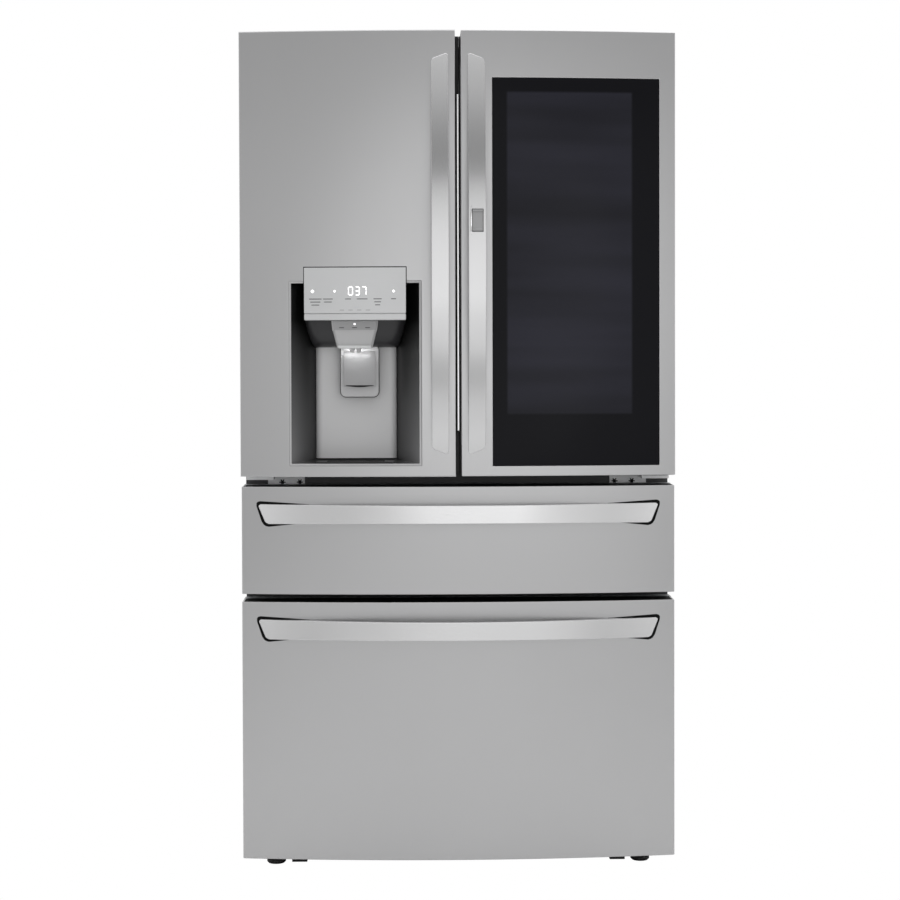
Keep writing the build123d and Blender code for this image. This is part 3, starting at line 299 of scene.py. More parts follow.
shelf_glass = clear("shelf_glass", (0.85, 0.95, 0.92), 0.02)
lens = moulded("frosted_lens", (0.90, 0.92, 0.95), 0.35, Emission_Color=(1, 1, 1, 1), Emission_Strength=0.6)
mirror_glass = window_glass()

NODE_MATERIALS = {
    cabinet_paint: ["cabinet_shell"],
    rear_sheet: ["rear_panel"],
    galvanised: ["machine_cover", "condenser"],
    foam: ["cabinet_insulation", "compartment_dividers", "left_door_core"],
    white_plastic: [
        "fridge_liner", "lower_liners", "air_duct", "left_door_liner", "ice_maker", "evaporator_cover",
    ],
    shelf_glass: ["glass_shelves"],
    lens: ["fridge_light"],
    clear_plastic: [
        "crisper_left", "crisper_right", "left_door_bins", "right_door_bins", "middle_drawer_bin",
        "freezer_drawer_bin",
    ],
    zinc: [
        "cabinet_rails", "hinge_brackets", "hinge_bolts", "middle_drawer_rails", "freezer_drawer_rails",
    ],
    dark_plastic: ["hinge_covers", "condenser_fan", "evaporator_fan", "mullion_flap", "outer_door_core"],
    black_enamel: ["base_frame", "compressor"],
    foot_black: ["left_levelling_leg", "right_levelling_leg", "left_roller", "right_roller"],
    fins: ["evaporator"],
    seal: [
        "left_door_gasket", "right_door_gasket", "outer_door_gasket", "middle_drawer_gasket",
        "freezer_drawer_gasket",
    ],
    frame_plastic: ["right_door_frame", "middle_drawer_core", "freezer_drawer_core"],
}
for made, names in NODE_MATERIALS.items():
    for name in names:
        nodes[name].data.materials.clear()
        nodes[name].data.materials.append(made)


def soften(obj, width, segments=2, angle=40):
    """Rounds the sharp edges of an object with a modifier."""
    bevel = obj.modifiers.new("edges", "BEVEL")
    bevel.width = width
    bevel.segments = segments
    bevel.limit_method = "ANGLE"
    bevel.angle_limit = math.radians(angle)
    bevel.harden_normals = True


for name in ("cabinet_shell", "right_door_frame", "middle_drawer_core", "freezer_drawer_core"):
    soften(nodes[name], 0.8 * MM)
for name in ("hinge_brackets", "hinge_bolts", "base_frame", "hinge_covers"):
    soften(nodes[name], 0.5 * MM)
for name in ("left_door_gasket", "right_door_gasket", "middle_drawer_gasket", "freezer_drawer_gasket"):
    soften(nodes[name], 2.5 * MM, 3)

# --- Piece builders ------------------------------------------------------------------------


def piece(name, mesh, made, body, bevel=0.0, segments=3, angle=30):
    """Turns a bmesh into an object that rides on a body, with rounded edges."""
    data = bpy.data.meshes.new(name)
    bmesh.ops.recalc_face_normals(mesh, faces=mesh.faces)
    mesh.to_mesh(data)
    mesh.free()
    for face in data.polygons:
        face.use_smooth = True
    obj = bpy.data.objects.new(name, data)
    bpy.context.scene.collection.objects.link(obj)
    data.materials.append(made)
    if bevel:
        soften(obj, bevel, segments, angle)
    else:
        crisp = obj.modifiers.new("crisp", "EDGE_SPLIT")
        crisp.split_angle = math.radians(40)
    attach(obj, body)
    return obj


def box(name, low, high, made, body, bevel=0.001, segments=3):
    """A block with rounded edges between two corners."""
    mesh = bmesh.new()
    for corner in bmesh.ops.create_cube(mesh, size=1)["verts"]:
        for axis in range(3):
            corner.co[axis] = high[axis] if corner.co[axis] > 0 else low[axis]
    return piece(name, mesh, made, body, bevel, segments)


def steps(low, high, largest, breaks=()):
    """Positions from low to high through the breaks, no further apart than largest."""
    stops = sorted({low, high, *[b for b in breaks if low < b < high]})
    values = [stops[0]]
    for start, end in zip(stops, stops[1:]):
        count = max(1, math.ceil((end - start) / largest))
        values += [start + (end - start) * (i + 1) / count for i in range(count)]
    return values


def grid_solid(name, us, vs, place, filled, made, body, bevel):
    """A closed plate over a grid. place(side, u, v) gives a corner, side 0 in front and side 1
    behind, and filled(u, v) says whether the cell round (u, v) is solid."""
    mesh = bmesh.new()
    verts = {}

    def vert(side, i, j):
        if (side, i, j) not in verts:
            verts[side, i, j] = mesh.verts.new(place(side, us[i], vs[j]))
        return verts[side, i, j]

    def solid(i, j):
        if not (0 <= i < len(us) - 1 and 0 <= j < len(vs) - 1):
            return False
        return filled((us[i] + us[i + 1]) / 2, (vs[j] + vs[j + 1]) / 2)

    for i in range(len(us) - 1):
        for j in range(len(vs) - 1):
            if not solid(i, j):
                continue
            ring = ((i, j), (i + 1, j), (i + 1, j + 1), (i, j + 1))
            beyond = ((i, j - 1), (i + 1, j), (i, j + 1), (i - 1, j))
            for side in (0, 1):
                mesh.faces.new([vert(side, a, b) for a, b in ring])
            for k in range(4):
                if not solid(*beyond[k]):
                    first, second = ring[k], ring[(k + 1) % 4]
                    mesh.faces.new([vert(0, *first), vert(0, *second), vert(1, *second), vert(1, *first)])
    return piece(name, mesh, made, body, bevel)


def bowed_plate(name, x_range, z_range, inset, back, made, body, holes=(), bevel=0.002):
    """A closed plate that follows the bow. back is its flat back's y, or its thickness if
    positive. Each hole is a rectangle (x_low, x_high, z_low, z_high) through it."""

    def place(side, x, z):
        near = front_y(x, inset)
        return (x, near if side == 0 else near + back if back > 0 else back, z)

    def filled(x, z):
        return not any(a < x < b and c < z < d for a, b, c, d in holes)

    xs = steps(*x_range, 12 * MM, [x for hole in holes for x in hole[:2]])
    zs = steps(*z_range, 1.0, [z for hole in holes for z in hole[2:]])
    return grid_solid(name, xs, zs, place, filled, made, body, bevel)


def arc(t, half, at_ends, at_middle):
    """The value at t of the circle arc through (-half, at_ends), (0, at_middle), (half, at_ends)."""
    rise = at_middle - at_ends
    radius = (half**2 + rise**2) / (2 * abs(rise))
    return at_middle - math.copysign(radius - math.sqrt(radius**2 - t**2), rise)


def loft(name, rings, made, body, bevel=0.0, angle=30):
    """A closed solid through a list of rings that all have the same number of corners."""
    mesh = bmesh.new()
    loops = [[mesh.verts.new(corner) for corner in ring] for ring in rings]
    count = len(loops[0])
    for first, second in zip(loops, loops[1:]):
        for k in range(count):
            following = (k + 1) % count
            mesh.faces.new([first[k], first[following], second[following], second[k]])
    mesh.faces.new(loops[0])
    mesh.faces.new(loops[-1])
    return piece(name, mesh, made, body, bevel, angle=angle)


def rounded(points, radius, segments=5):
    """A flat outline's corners, each replaced by a small arc of the radius."""
    result = []
    for index, corner in enumerate(points):
        corner = Vector(corner)
        before = (Vector(points[index - 1]) - corner).normalized()
        after = (Vector(points[(index + 1) % len(points)]) - corner).normalized()
        half_angle = before.angle(after) / 2
        reach = radius / math.tan(half_angle)
        start, end = corner + before * reach, corner + after * reach
        centre = corner + (before + after).normalized() * (radius / math.sin(half_angle))
        for k in range(segments + 1):
            blend = start.lerp(end, k / segments) - centre
            result.append(tuple(centre + blend.normalized() * radius))
    return result


def plate(name, outline, y_low, y_high, made, body, bevel=0.0):
    """A flat plate of an (x, z) outline between two depths."""
    rings = [[(x, y, z) for x, z in outline] for y in (y_low, y_high)]
    return loft(name, rings, made, body, bevel)


def turned(name, profile, centre, made, body, segments=24):
    """A turned shape about a vertical axis through (radius, z) points."""
    rings = []
    for radius, z in profile:
        ring = []
        for k in range(segments):
            angle = 2 * math.pi * k / segments
            ring.append((centre[0] + radius * math.cos(angle), centre[1] + radius * math.sin(angle), z))
        rings.append(ring)
    return loft(name, rings, made, body)


# --- Steel fronts --------------------------------------------------------------------------

housing_low, housing_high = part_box("dispenser_housing")
POCKET = (housing_low[0], housing_high[0], housing_low[2], housing_high[2])
EDGE = 1.6 * MM

DOOR_SPAN = (DOOR_LOW + 0.4 * MM, DOOR_HIGH - 0.4 * MM)
left_front = bowed_plate(
    "left_door_front", (left_skin_low[0], left_skin_high[0]), DOOR_SPAN,
    0, LINER_EDGE, steel, "left_door", [POCKET], EDGE,
)
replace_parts(left_front, "left_door_skin")

glass_low, glass_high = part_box("outer_door_glass")
GLASS_GAP = 0.5 * MM
glass_hole = (
    glass_low[0] - GLASS_GAP, glass_high[0] + GLASS_GAP,
    glass_low[2] - GLASS_GAP, glass_high[2] + GLASS_GAP,
)
outer_front = bowed_plate(
    "outer_door_front", (outer_low[0], outer_high[0]), DOOR_SPAN,
    0, outer_high[1] - 1.2 * MM, steel, "outer_door", [glass_hole], EDGE,
)
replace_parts(outer_front, "outer_door_skin")
glass = bowed_plate(
    "glass_panel", (glass_low[0], glass_high[0]), (glass_low[2], glass_high[2]), 0.3 * MM, 4 * MM,
    mirror_glass, "outer_door", bevel=0.8 * MM,
)
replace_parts(glass, "outer_door_glass")
bowed_plate(
    "glass_seat", (glass_hole[0] - 6 * MM, glass_hole[1] + 6 * MM),
    (glass_hole[2] - 6 * MM, glass_hole[3] + 6 * MM), 4.4 * MM, 2 * MM, groove_and_shadow_black, "outer_door",
    bevel=0,
)

for drawer in ("middle_drawer", "freezer_drawer"):
    low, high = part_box(f"{drawer}_skin")
    front = bowed_plate(
        f"{drawer}_front", (low[0], high[0]), (low[2], high[2]), 0, LINER_EDGE, steel, drawer,
        bevel=EDGE,
    )
    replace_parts(front, f"{drawer}_skin")
    # Painted shadow: a black strip along the drawer's top edge stands in for the shadow in the gap above it.
    bowed_plate(
        f"{drawer}_top_shadow_strip", (low[0] + 4 * MM, high[0] - 4 * MM), (high[2] - 4 * MM, high[2] + 0.5 * MM),
        3.2 * MM, LINER_EDGE + 1 * MM, groove_and_shadow_black, drawer, bevel=0.3 * MM,
    )

# --- Handles -------------------------------------------------------------------------------

FOOT = 80 * MM
BAR = 13 * MM
CORNER = 6 * MM
handle_low, handle_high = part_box("left_door_handle")
HANDLE_FRONT = handle_low[1]


def corner_pull(across, width, radius=CORNER):
    """How far a bar's end is drawn in at a distance across it, to round its two corners."""
    inward = min(across, width - across)
    if inward >= radius:
        return 0.0
    return radius - math.sqrt(radius**2 - (radius - inward) ** 2)


def bar_columns(width, extra=()):
    """Positions across a bar, close together at its rounded corners."""
    near = [0, 0.5, 1.0]
    return sorted({*[CORNER * f for f in near], *[width - CORNER * f for f in near], *extra})


def upright_bar(name, sign, body, hole=None):
    """A flat bar that arches out from a door, its ends slanted and flush on the face. The hole
    is (low, high) across the bar and (low, high) up it."""
    slant, sole = 14 * MM, 0.5 * MM
    half = (handle_high[2] - handle_low[2]) / 2
    middle = (handle_high[2] + handle_low[2]) / 2
    inner = min(abs(handle_low[0]), abs(handle_high[0]))
    width = handle_high[0] - handle_low[0]
    reach = half - FOOT

    def place(side, along, across):
        near_end = max(0.0, abs(along) / half - 0.85) / 0.15
        drawn_in = near_end * (slant * across / width + corner_pull(across, width))
        z = along - math.copysign(drawn_in, along)
        y = arc(z, half, FRONT - sole, HANDLE_FRONT)
        if side:
            y = FRONT + 1 * MM if abs(z) >= reach else arc(z, reach, FRONT, HANDLE_FRONT + BAR)
        return (sign * (inner + across), y, middle + z)

    columns, breaks = [], [-reach, reach]
    if hole:
        columns = [x - inner for x in hole[0]]
        breaks += [z - middle for z in hole[1]]

    def filled(along, across):
        if not hole:
            return True
        in_hole = hole[0][0] < inner + across < hole[0][1]
        return not (in_hole and hole[1][0] < middle + along < hole[1][1])

    us = steps(-half, half, 10 * MM, breaks)
    return grid_solid(
        name, us, bar_columns(width, columns), place, filled, handle_steel, body, 2.2 * MM
    )


button_low, button_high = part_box("release_button")
BUTTON_GAP = 0.5 * MM
button_hole = (
    (button_low[0] - BUTTON_GAP, button_high[0] + BUTTON_GAP),
    (button_low[2] - BUTTON_GAP, button_high[2] + BUTTON_GAP),
)
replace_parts(upright_bar("left_handle_bar", -1, "left_door"), "left_door_handle")
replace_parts(upright_bar("right_handle_bar", 1, "outer_door", button_hole), "right_door_handle")
box(
    "button_pocket", (button_hole[0][0] - 2 * MM, HANDLE_FRONT + 11 * MM, button_hole[1][0] - 2 * MM),
    (button_hole[0][1] + 2 * MM, HANDLE_FRONT + 12.6 * MM, button_hole[1][1] + 2 * MM), groove_and_shadow_black,
    "outer_door", 0.5 * MM,
)


def release_button():
    """The button: a lip along its top, then a face that is scooped and leans back."""
    z_low, z_high = button_low[2], button_high[2]
    face = HANDLE_FRONT + 1.6 * MM
    back = face + 5 * MM
    profile = [
        (face, z_high - 0.5 * MM), (face, z_high - 4 * MM), (face + 2.6 * MM, z_high - 5.5 * MM),
        (face + 2.2 * MM, z_high - 14 * MM), (face + 1.8 * MM, z_high - 28 * MM),
        (face + 1.4 * MM, z_low + 6 * MM), (face + 0.2 * MM, z_low + 4.5 * MM),
        (face + 1.8 * MM, z_low + 0.5 * MM),
    ]
    outline = [*profile, (back, z_low + 0.5 * MM), (back, z_high - 0.5 * MM)]
    rings = [[(x, y, z) for y, z in outline] for x in (button_low[0] + 0.3 * MM, button_high[0] - 0.3 * MM)]
    return loft("release_button_cap", rings, button_plastic, "button", 0.5 * MM)


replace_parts(release_button(), "release_button")


def drawer_pull(drawer):
    """The flat bar across a drawer, its slanted ends flush on the bowed face, with the dark
    groove in the face round each end."""
    low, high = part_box(f"{drawer}_handle")
    half, height, slant = high[0], high[2] - low[2], 18 * MM
    z_low, reach = low[2], high[0] - FOOT
    sole, lean = 6 * MM, 0.07

    def place(side, along, across):
        near_end = max(0.0, abs(along) / half - 0.9) / 0.1
        drawn_in = near_end * (slant * (1 - across / height) + corner_pull(across, height))
        x = along - math.copysign(drawn_in, along)
        y = arc(x, half, front_y(half) - sole, HANDLE_FRONT) + lean * across
        if side:
            back = arc(min(abs(x), reach), reach, front_y(reach), HANDLE_FRONT + BAR)
            y = front_y(x, 0.5 * MM) if abs(x) >= reach else back
        rise = 4 * MM * (1 - (x / half) ** 2) * (1 - across / height)
        return (x, y, z_low + across + rise)

    us = steps(-half, half, 10 * MM, [-reach, reach])
    bar = grid_solid(
        f"{drawer}_pull", us, bar_columns(height), place, lambda u, v: True, pull_steel, drawer,
        1.2 * MM,
    )
    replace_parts(bar, f"{drawer}_handle")

    border = 6.2 * MM
    for side_name, sign in (("left", -1), ("right", 1)):

        def seat(side, along, across):
            full = height + 2 * border
            start = half + border - slant * (1 - across / full) - corner_pull(across, full, 11 * MM)
            end = half - (82 * MM + 26 * MM * across / full)
            x = sign * (start + (end - start) * along)
            spread = border * (1 - along)
            z = z_low - spread + (height + 2 * spread) * across / full
            return (x, front_y(x, -0.35 * MM if side == 0 else 1.5 * MM), z)

        full_height = height + 2 * border
        columns = [0, 1.5 * MM, 4.5 * MM, 11 * MM]
        across_steps = sorted({*columns, *[full_height - c for c in columns]})
        grid_solid(
            f"{drawer}_groove_{side_name}", steps(0.0, 1.0, 0.08), across_steps, seat,
            lambda u, v: True, groove_and_shadow_black, drawer, 0,
        )


drawer_pull("middle_drawer")
drawer_pull("freezer_drawer")

# The bright strip on the left door's facing edge and its dark web, a trim on the right door's,
# and behind them the two dark fins that close the gap
STRIP_LOW, STRIP_HIGH = 922 * MM, 1618 * MM
DOOR_EDGE = left_skin_high[0]
box(
    "left_edge_strip", (DOOR_EDGE + 3.6 * MM, FRONT + 3 * MM, STRIP_LOW),
    (DOOR_EDGE + 7.6 * MM, FRONT + 10 * MM, STRIP_HIGH), strip_chrome, "left_door",
    1.2 * MM,
)
box(
    "left_strip_web", (DOOR_EDGE - 1 * MM, FRONT + 8 * MM, STRIP_LOW - 2 * MM),
    (DOOR_EDGE + 7 * MM, FRONT + 13 * MM, STRIP_HIGH + 2 * MM), groove_and_shadow_black, "left_door",
    0.6 * MM,
)
box(
    "right_edge_strip", (-DOOR_EDGE - 0.8 * MM, FRONT + 6 * MM, STRIP_LOW - 30 * MM),
    (-DOOR_EDGE + 1.5 * MM, FRONT + 26 * MM, STRIP_HIGH + 60 * MM), band_plastic, "outer_door",
    0.5 * MM,
)
FIN_Y = (-334 * MM, -318 * MM)
box(
    "left_gap_fin", (DOOR_EDGE - 2 * MM, FIN_Y[0], DOOR_LOW + 5 * MM),
    (3.5 * MM, FIN_Y[1], DOOR_HIGH - 0.8 * MM), dark_plastic, "left_door", 0.4 * MM,
)
box(
    "right_gap_fin", (3.95 * MM, FIN_Y[0], DOOR_LOW + 5 * MM), (10 * MM, FIN_Y[1], DOOR_HIGH - 0.8 * MM),
    dark_plastic, "right_door", 0.3 * MM,
)

# --- Dispenser -----------------------------------------------------------------------------

panel_low, panel_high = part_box("dispenser_panel")
chute_low, chute_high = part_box("dispenser_chute")
paddle_low, paddle_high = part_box("dispenser_paddle")
MID_X = (housing_low[0] + housing_high[0]) / 2
RECESS_HALF = (housing_high[0] - housing_low[0]) / 2 - 3.7 * MM
RECESS_LOW, RECESS_HIGH = housing_low[2] + 3.7 * MM, housing_high[2] - 3.7 * MM
RECESS_BACK, BACK_HALF = -322 * MM, 86 * MM
BEZEL_LAP = 0.6 * MM

bowed_plate(
    "recess_bezel", POCKET[:2], POCKET[2:], -0.4 * MM, 5 * MM, light_plastic, "left_door",
    [(
        MID_X - RECESS_HALF + BEZEL_LAP, MID_X + RECESS_HALF - BEZEL_LAP,
        RECESS_LOW + BEZEL_LAP, RECESS_HIGH - BEZEL_LAP,
    )],
    1.2 * MM,
)


def recess_ring(half, z_low, z_high, depth):
    """A rectangle's ring of points at a depth, which may be a function of x."""
    at = depth if callable(depth) else (lambda x: depth)
    across = [MID_X + half * (k / 6 - 1) for k in range(13)]
    upward = [z_low + (z_high - z_low) * k / 6 for k in range(1, 6)]
    ring = [(x, at(x), z_low) for x in across]
    ring += [(across[-1], at(across[-1]), z) for z in upward]
    ring += [(x, at(x), z_high) for x in reversed(across)]
    return ring + [(across[0], at(across[0]), z) for z in reversed(upward)]


def recess():
    """The dark recess, whose walls curve inward to the back panel."""
    outer_half = (POCKET[1] - POCKET[0]) / 2
    rings = [
        recess_ring(outer_half, POCKET[2], POCKET[3], housing_high[1]),
        recess_ring(outer_half, POCKET[2], POCKET[3], lambda x: front_y(x, 3 * MM)),
        recess_ring(RECESS_HALF, RECESS_LOW, RECESS_HIGH, lambda x: front_y(x, 3 * MM)),
    ]
    for k in range(1, 13):
        share = k / 12
        curved = 0.35 * share + 0.65 * math.sin(share * math.pi / 2)
        half = RECESS_HALF + (BACK_HALF - RECESS_HALF) * curved
        rings.append(
            recess_ring(
                half, RECESS_LOW + 6 * MM * curved, RECESS_HIGH - 6 * MM * curved,
                lambda x, s=share: front_y(x, 3 * MM) * (1 - s) + RECESS_BACK * s,
            )
        )
    return loft("dispenser_recess", rings, recess_plastic_with_painted_light, "left_door")


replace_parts(recess(), "dispenser_housing")

BACK_LOW, BACK_HIGH = RECESS_LOW + 9 * MM, 1104 * MM


def back_panel():
    """The light panel at the recess's back, whose upright edges roll back into the walls."""
    roll = 17 * MM

    def place(side, x, z):
        beyond = max(0.0, abs(x) - (BACK_HALF - roll)) / roll
        sunk = roll * 0.8 * (1 - math.sqrt(1 - min(beyond, 0.98) ** 2))
        return (MID_X + x, RECESS_BACK - 9 * MM + sunk if side == 0 else RECESS_BACK + 9 * MM, z)

    edge = [BACK_HALF - roll + roll * math.sin(k * math.pi / 16) for k in range(9)]
    xs = sorted({0.0, *edge, *[-x for x in edge]})
    return grid_solid(
        "recess_back_panel", xs, [BACK_LOW, BACK_HIGH], place, lambda u, v: True, back_plastic,
        "left_door", 0,
    )


back_panel()
box(
    "drip_tray", (MID_X - BACK_HALF + 4 * MM, front_y(MID_X, 14 * MM), RECESS_LOW + 0.8 * MM),
    (MID_X + BACK_HALF - 4 * MM, RECESS_BACK - 16 * MM, RECESS_LOW + 4.5 * MM), cowl_plastic,
    "left_door", 1.2 * MM,
)
for index in range(7):
    y = front_y(MID_X, 18 * MM) + index * 6.5 * MM
    box(
        f"drip_slot_{index}", (MID_X - 60 * MM, y, RECESS_LOW + 4.2 * MM),
        (MID_X + 60 * MM, y + 2.6 * MM, RECESS_LOW + 4.8 * MM), groove_and_shadow_black, "left_door",
        0.2 * MM,
    )

# The cowl over the chute: height, half width and reach forward in millimetres, downward
COWL = (
    (1228, 105, 394), (1150, 105, 393), (1126, 99, 389), (1108, 93, 381), (1099, 89, 368),
    (1096, 85, 352),
)
COWL_CORNER = 26
cowl_rings = []
for z, half, reach in COWL:
    corner = []
    for k in range(7):
        turn = k / 6 * math.pi / 2
        corner.append((half - COWL_CORNER * (1 - math.cos(turn)), reach - COWL_CORNER * (1 - math.sin(turn))))
    mirrored = [(-x, y) for x, y in reversed(corner)]
    outline = [(half, -RECESS_BACK / MM), *corner, *mirrored, (-half, -RECESS_BACK / MM)]
    cowl_rings.append([(MID_X + x * MM, -y * MM, z * MM) for x, y in outline])
loft("dispenser_cowl", cowl_rings, cowl_plastic, "left_door")

PANEL_PROUD = 4 * MM
LIP = 14.5 * MM
face = bowed_plate(
    "control_panel", (panel_low[0], panel_high[0]), (panel_low[2] + LIP, panel_high[2]), -PANEL_PROUD,
    3.6 * MM, panel_plastic, "left_door", bevel=1.0 * MM,
)
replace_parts(face, "dispenser_panel")
# Painted shadow: a black plate just proud of the face round the panel's top and sides stands in for the
# shadow of the proud panel.
bowed_plate(
    "control_panel_shadow_line", (panel_low[0] - 1.6 * MM, panel_high[0] + 1.6 * MM),
    (RECESS_HIGH - 3 * MM, panel_high[2] + 2.2 * MM), -0.5 * MM, 2 * MM, groove_and_shadow_black, "left_door",
    bevel=0.3 * MM,
)
bowed_plate(
    "control_panel_body", (panel_low[0] + 1 * MM, panel_high[0] - 1 * MM),
    (panel_low[2] + 1 * MM, RECESS_HIGH - 6 * MM), -0.6 * MM, 12 * MM, panel_plastic, "left_door",
    bevel=1.0 * MM,
)
bowed_plate(
    "control_panel_lip", (panel_low[0], panel_high[0]), (panel_low[2], panel_low[2] + LIP - 0.9 * MM),
    -PANEL_PROUD + 0.4 * MM, 10 * MM, panel_plastic, "left_door", bevel=2.2 * MM,
)


def mark(name, x, z, width, height, made):
    """A flat mark printed on the control panel, centred at (x, z)."""
    return bowed_plate(
        name, (x - width / 2, x + width / 2), (z - height / 2, z + height / 2),
        -PANEL_PROUD - 0.15 * MM, 0.4 * MM, made, "left_door", bevel=0,
    )


SEGMENTS = {"0": "abcdef", "3": "abcdg", "7": "abc"}
DIGIT_WIDTH, DIGIT_HEIGHT, STROKE = 8.5 * MM, 17 * MM, 2.0 * MM
DISPLAY_X, DISPLAY_Z = MID_X + 5 * MM, panel_low[2] + 60.5 * MM
for index, digit in enumerate("037"):
    x = DISPLAY_X + (index - 1) * 14 * MM
    for segment in SEGMENTS[digit]:
        level = {"a": 1, "g": 0, "d": -1}.get(segment)
        if level is not None:
            z = DISPLAY_Z + level * DIGIT_HEIGHT / 2
            mark(f"digit_{index}_{segment}", x, z, DIGIT_WIDTH - STROKE, STROKE, glow)
        else:
            side = 1 if segment in "bc" else -1
            half_up = 1 if segment in "bf" else -1
            z = DISPLAY_Z + half_up * DIGIT_HEIGHT / 4
            mark(
                f"digit_{index}_{segment}", x + side * DIGIT_WIDTH / 2, z, STROKE,
                DIGIT_HEIGHT / 2 - STROKE, glow,
            )

LEGENDS = ((-82, 26, 3), (-56, 20, 2), (-14, 12, 1), (15, 22, 1), (47, 17, 3), (80, 10, 1))
LEGEND_TOP = panel_low[2] + 44 * MM
for column, (offset, width, rows) in enumerate(LEGENDS):
    for row in range(rows):
        scale = (1.0, 0.8, 0.62)[row]
        mark(
            f"legend_{column}_{row}", MID_X + offset * MM, LEGEND_TOP - row * 6.2 * MM,
            width * scale * MM, 1.5 * MM, legend_grey,
        )
for index, offset in enumerate((-88, -42, 80)):
    size = (6.5, 5.0, 5.5)[index] * MM
    centre_x, centre_z = MID_X + offset * MM, panel_low[2] + 60 * MM
    mark(f"icon_{index}_across", centre_x, centre_z, size, size * 0.42, glow)
    mark(f"icon_{index}_up", centre_x, centre_z, size * 0.42, size, glow)
mark("menu_line", MID_X + 3 * MM, panel_low[2] + 27 * MM, 10 * MM, 1.6 * MM, rim_plastic)
for index in range(4):
    dash_x = MID_X + (index * 18 - 27) * MM
    mark(f"menu_dash_{index}", dash_x, panel_low[2] + 21 * MM, 9 * MM, 1.1 * MM, band_plastic)

CHUTE_MID = (chute_low[0] + chute_high[0]) / 2 + 1.5 * MM
# The chute: height, half width and reach forward in millimetres, downward
CHUTE = (
    (1151, 49, 398), (1131, 46.5, 398), (1128, 45, 396.5), (1112, 41, 393), (1098, 37.5, 390),
    (1094, 37, 390),
)
CHUTE_BACK, CHUTE_CHAMFER = 378, 5
chute_rings = []
for z, half, reach in CHUTE:
    flat, shoulder = half - CHUTE_CHAMFER, reach - CHUTE_CHAMFER
    outline = (
        (-half, CHUTE_BACK), (-half, shoulder), (-flat, reach), (flat, reach), (half, shoulder),
        (half, CHUTE_BACK),
    )
    chute_rings.append([(CHUTE_MID + x * MM, -y * MM, z * MM) for x, y in outline])
chute = loft("chute_body", chute_rings, light_plastic, "left_door", 1.2 * MM, 20)
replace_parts(chute, "dispenser_chute")
band_outline = [
    (CHUTE_MID + side * half * MM, z * MM)
    for side, half, z in ((-1, 43.5, 1131.5), (-1, 46, 1149.5), (1, 46, 1149.5), (1, 43.5, 1131.5))
]
plate(
    "chute_band", rounded(band_outline, 1.5 * MM), -399 * MM, -397 * MM, band_plastic, "left_door",
    0.4 * MM,
)
for index, offset in enumerate((-27, 0, 27)):
    box(
        f"chute_legend_{index}", (CHUTE_MID + (offset - 5) * MM, -399.3 * MM, 1135.5 * MM),
        (CHUTE_MID + (offset + 5) * MM, -398.9 * MM, 1137 * MM), legend_grey, "left_door",
        0.1 * MM,
    )
box(
    "chute_light", (CHUTE_MID - 2 * MM, -399.6 * MM, 1142 * MM),
    (CHUTE_MID + 2 * MM, -398.8 * MM, 1145.5 * MM), glow, "left_door", 0.3 * MM,
)
box(
    "chute_lip", (CHUTE_MID - 35 * MM, -396 * MM, 1093 * MM), (CHUTE_MID + 35 * MM, -386 * MM, 1099.5 * MM),
    panel_plastic, "left_door", 2.2 * MM,
)
# A nozzle's profile: radius and height in millimetres, downward
NOZZLE = ((6, 1095), (6, 1092), (4.5, 1091), (4.5, 1086), (3.4, 1084.6), (1.2, 1084.6))
for index, x in enumerate((-220 * MM, -207 * MM)):
    profile = [(radius * MM, z * MM) for radius, z in NOZZLE]
    turned(f"nozzle_{index}", profile, (x, -388 * MM), light_plastic, "left_door")

PADDLE_MID = (paddle_low[0] + paddle_high[0]) / 2
PADDLE_HALF = 40 * MM
PADDLE_TOP, PADDLE_LOW, HIDDEN = paddle_high[2], paddle_low[2], 12 * MM


def paddle_outline(margin):
    """The paddle's outline, grown by a margin. Its top stays hidden behind the chute."""
    half, low, high = PADDLE_HALF + margin, PADDLE_LOW - margin, PADDLE_TOP + HIDDEN
    left, right = PADDLE_MID - half, PADDLE_MID + half
    corners = [(left, low), (left, high), (right, high), (right, low)]
    return rounded(corners, 11 * MM + margin)


paddle = plate(
    "paddle_frame", paddle_outline(0), -355 * MM, -349.5 * MM, light_plastic, "paddle",
    1.6 * MM,
)
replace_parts(paddle, "dispenser_paddle")
# Painted shadow: a black plate 1.3 mm wider than the paddle frame shows as a dark outline round its edges.
plate(
    "paddle_shadow_outline", paddle_outline(1.3 * MM), -351 * MM, -348.5 * MM, groove_and_shadow_black, "paddle",
    0.4 * MM,
)


def paddle_pad():
    """The pressed pad: its top leans back under the chute and its foot stands forward."""
    low, high = PADDLE_LOW + 22 * MM, PADDLE_TOP + HIDDEN - 2 * MM

    def place(side, x, z):
        share = (z - low) / (high - low)
        forward = -362 * MM + 11 * MM * share**3
        return (x, forward if side == 0 else -350.5 * MM, z)

    xs = [PADDLE_MID - 33 * MM, PADDLE_MID, PADDLE_MID + 33 * MM]
    return grid_solid(
        "paddle_pad", xs, steps(low, high, 6 * MM), place, lambda u, v: True, pad_plastic, "paddle",
        1.5 * MM,
    )


paddle_pad()
SLOT_Y = (-362.4 * MM, -358 * MM)
slot_rings = []
for k in range(13):
    t = k / 6 - 1
    thick = (0.5 + 1.3 * (1 - t * t)) * MM
    x, z = PADDLE_MID + t * 29 * MM, PADDLE_LOW + 24 * MM - 1.5 * MM * (1 - t * t)
    section = ((SLOT_Y[0], -thick), (SLOT_Y[0], thick), (SLOT_Y[1], thick), (SLOT_Y[1], -thick))
    slot_rings.append([(x, y, z + rise) for y, rise in section])
loft("paddle_slot", slot_rings, groove_and_shadow_black, "paddle")

# --- Hinges, cabinet and inside ------------------------------------------------------------


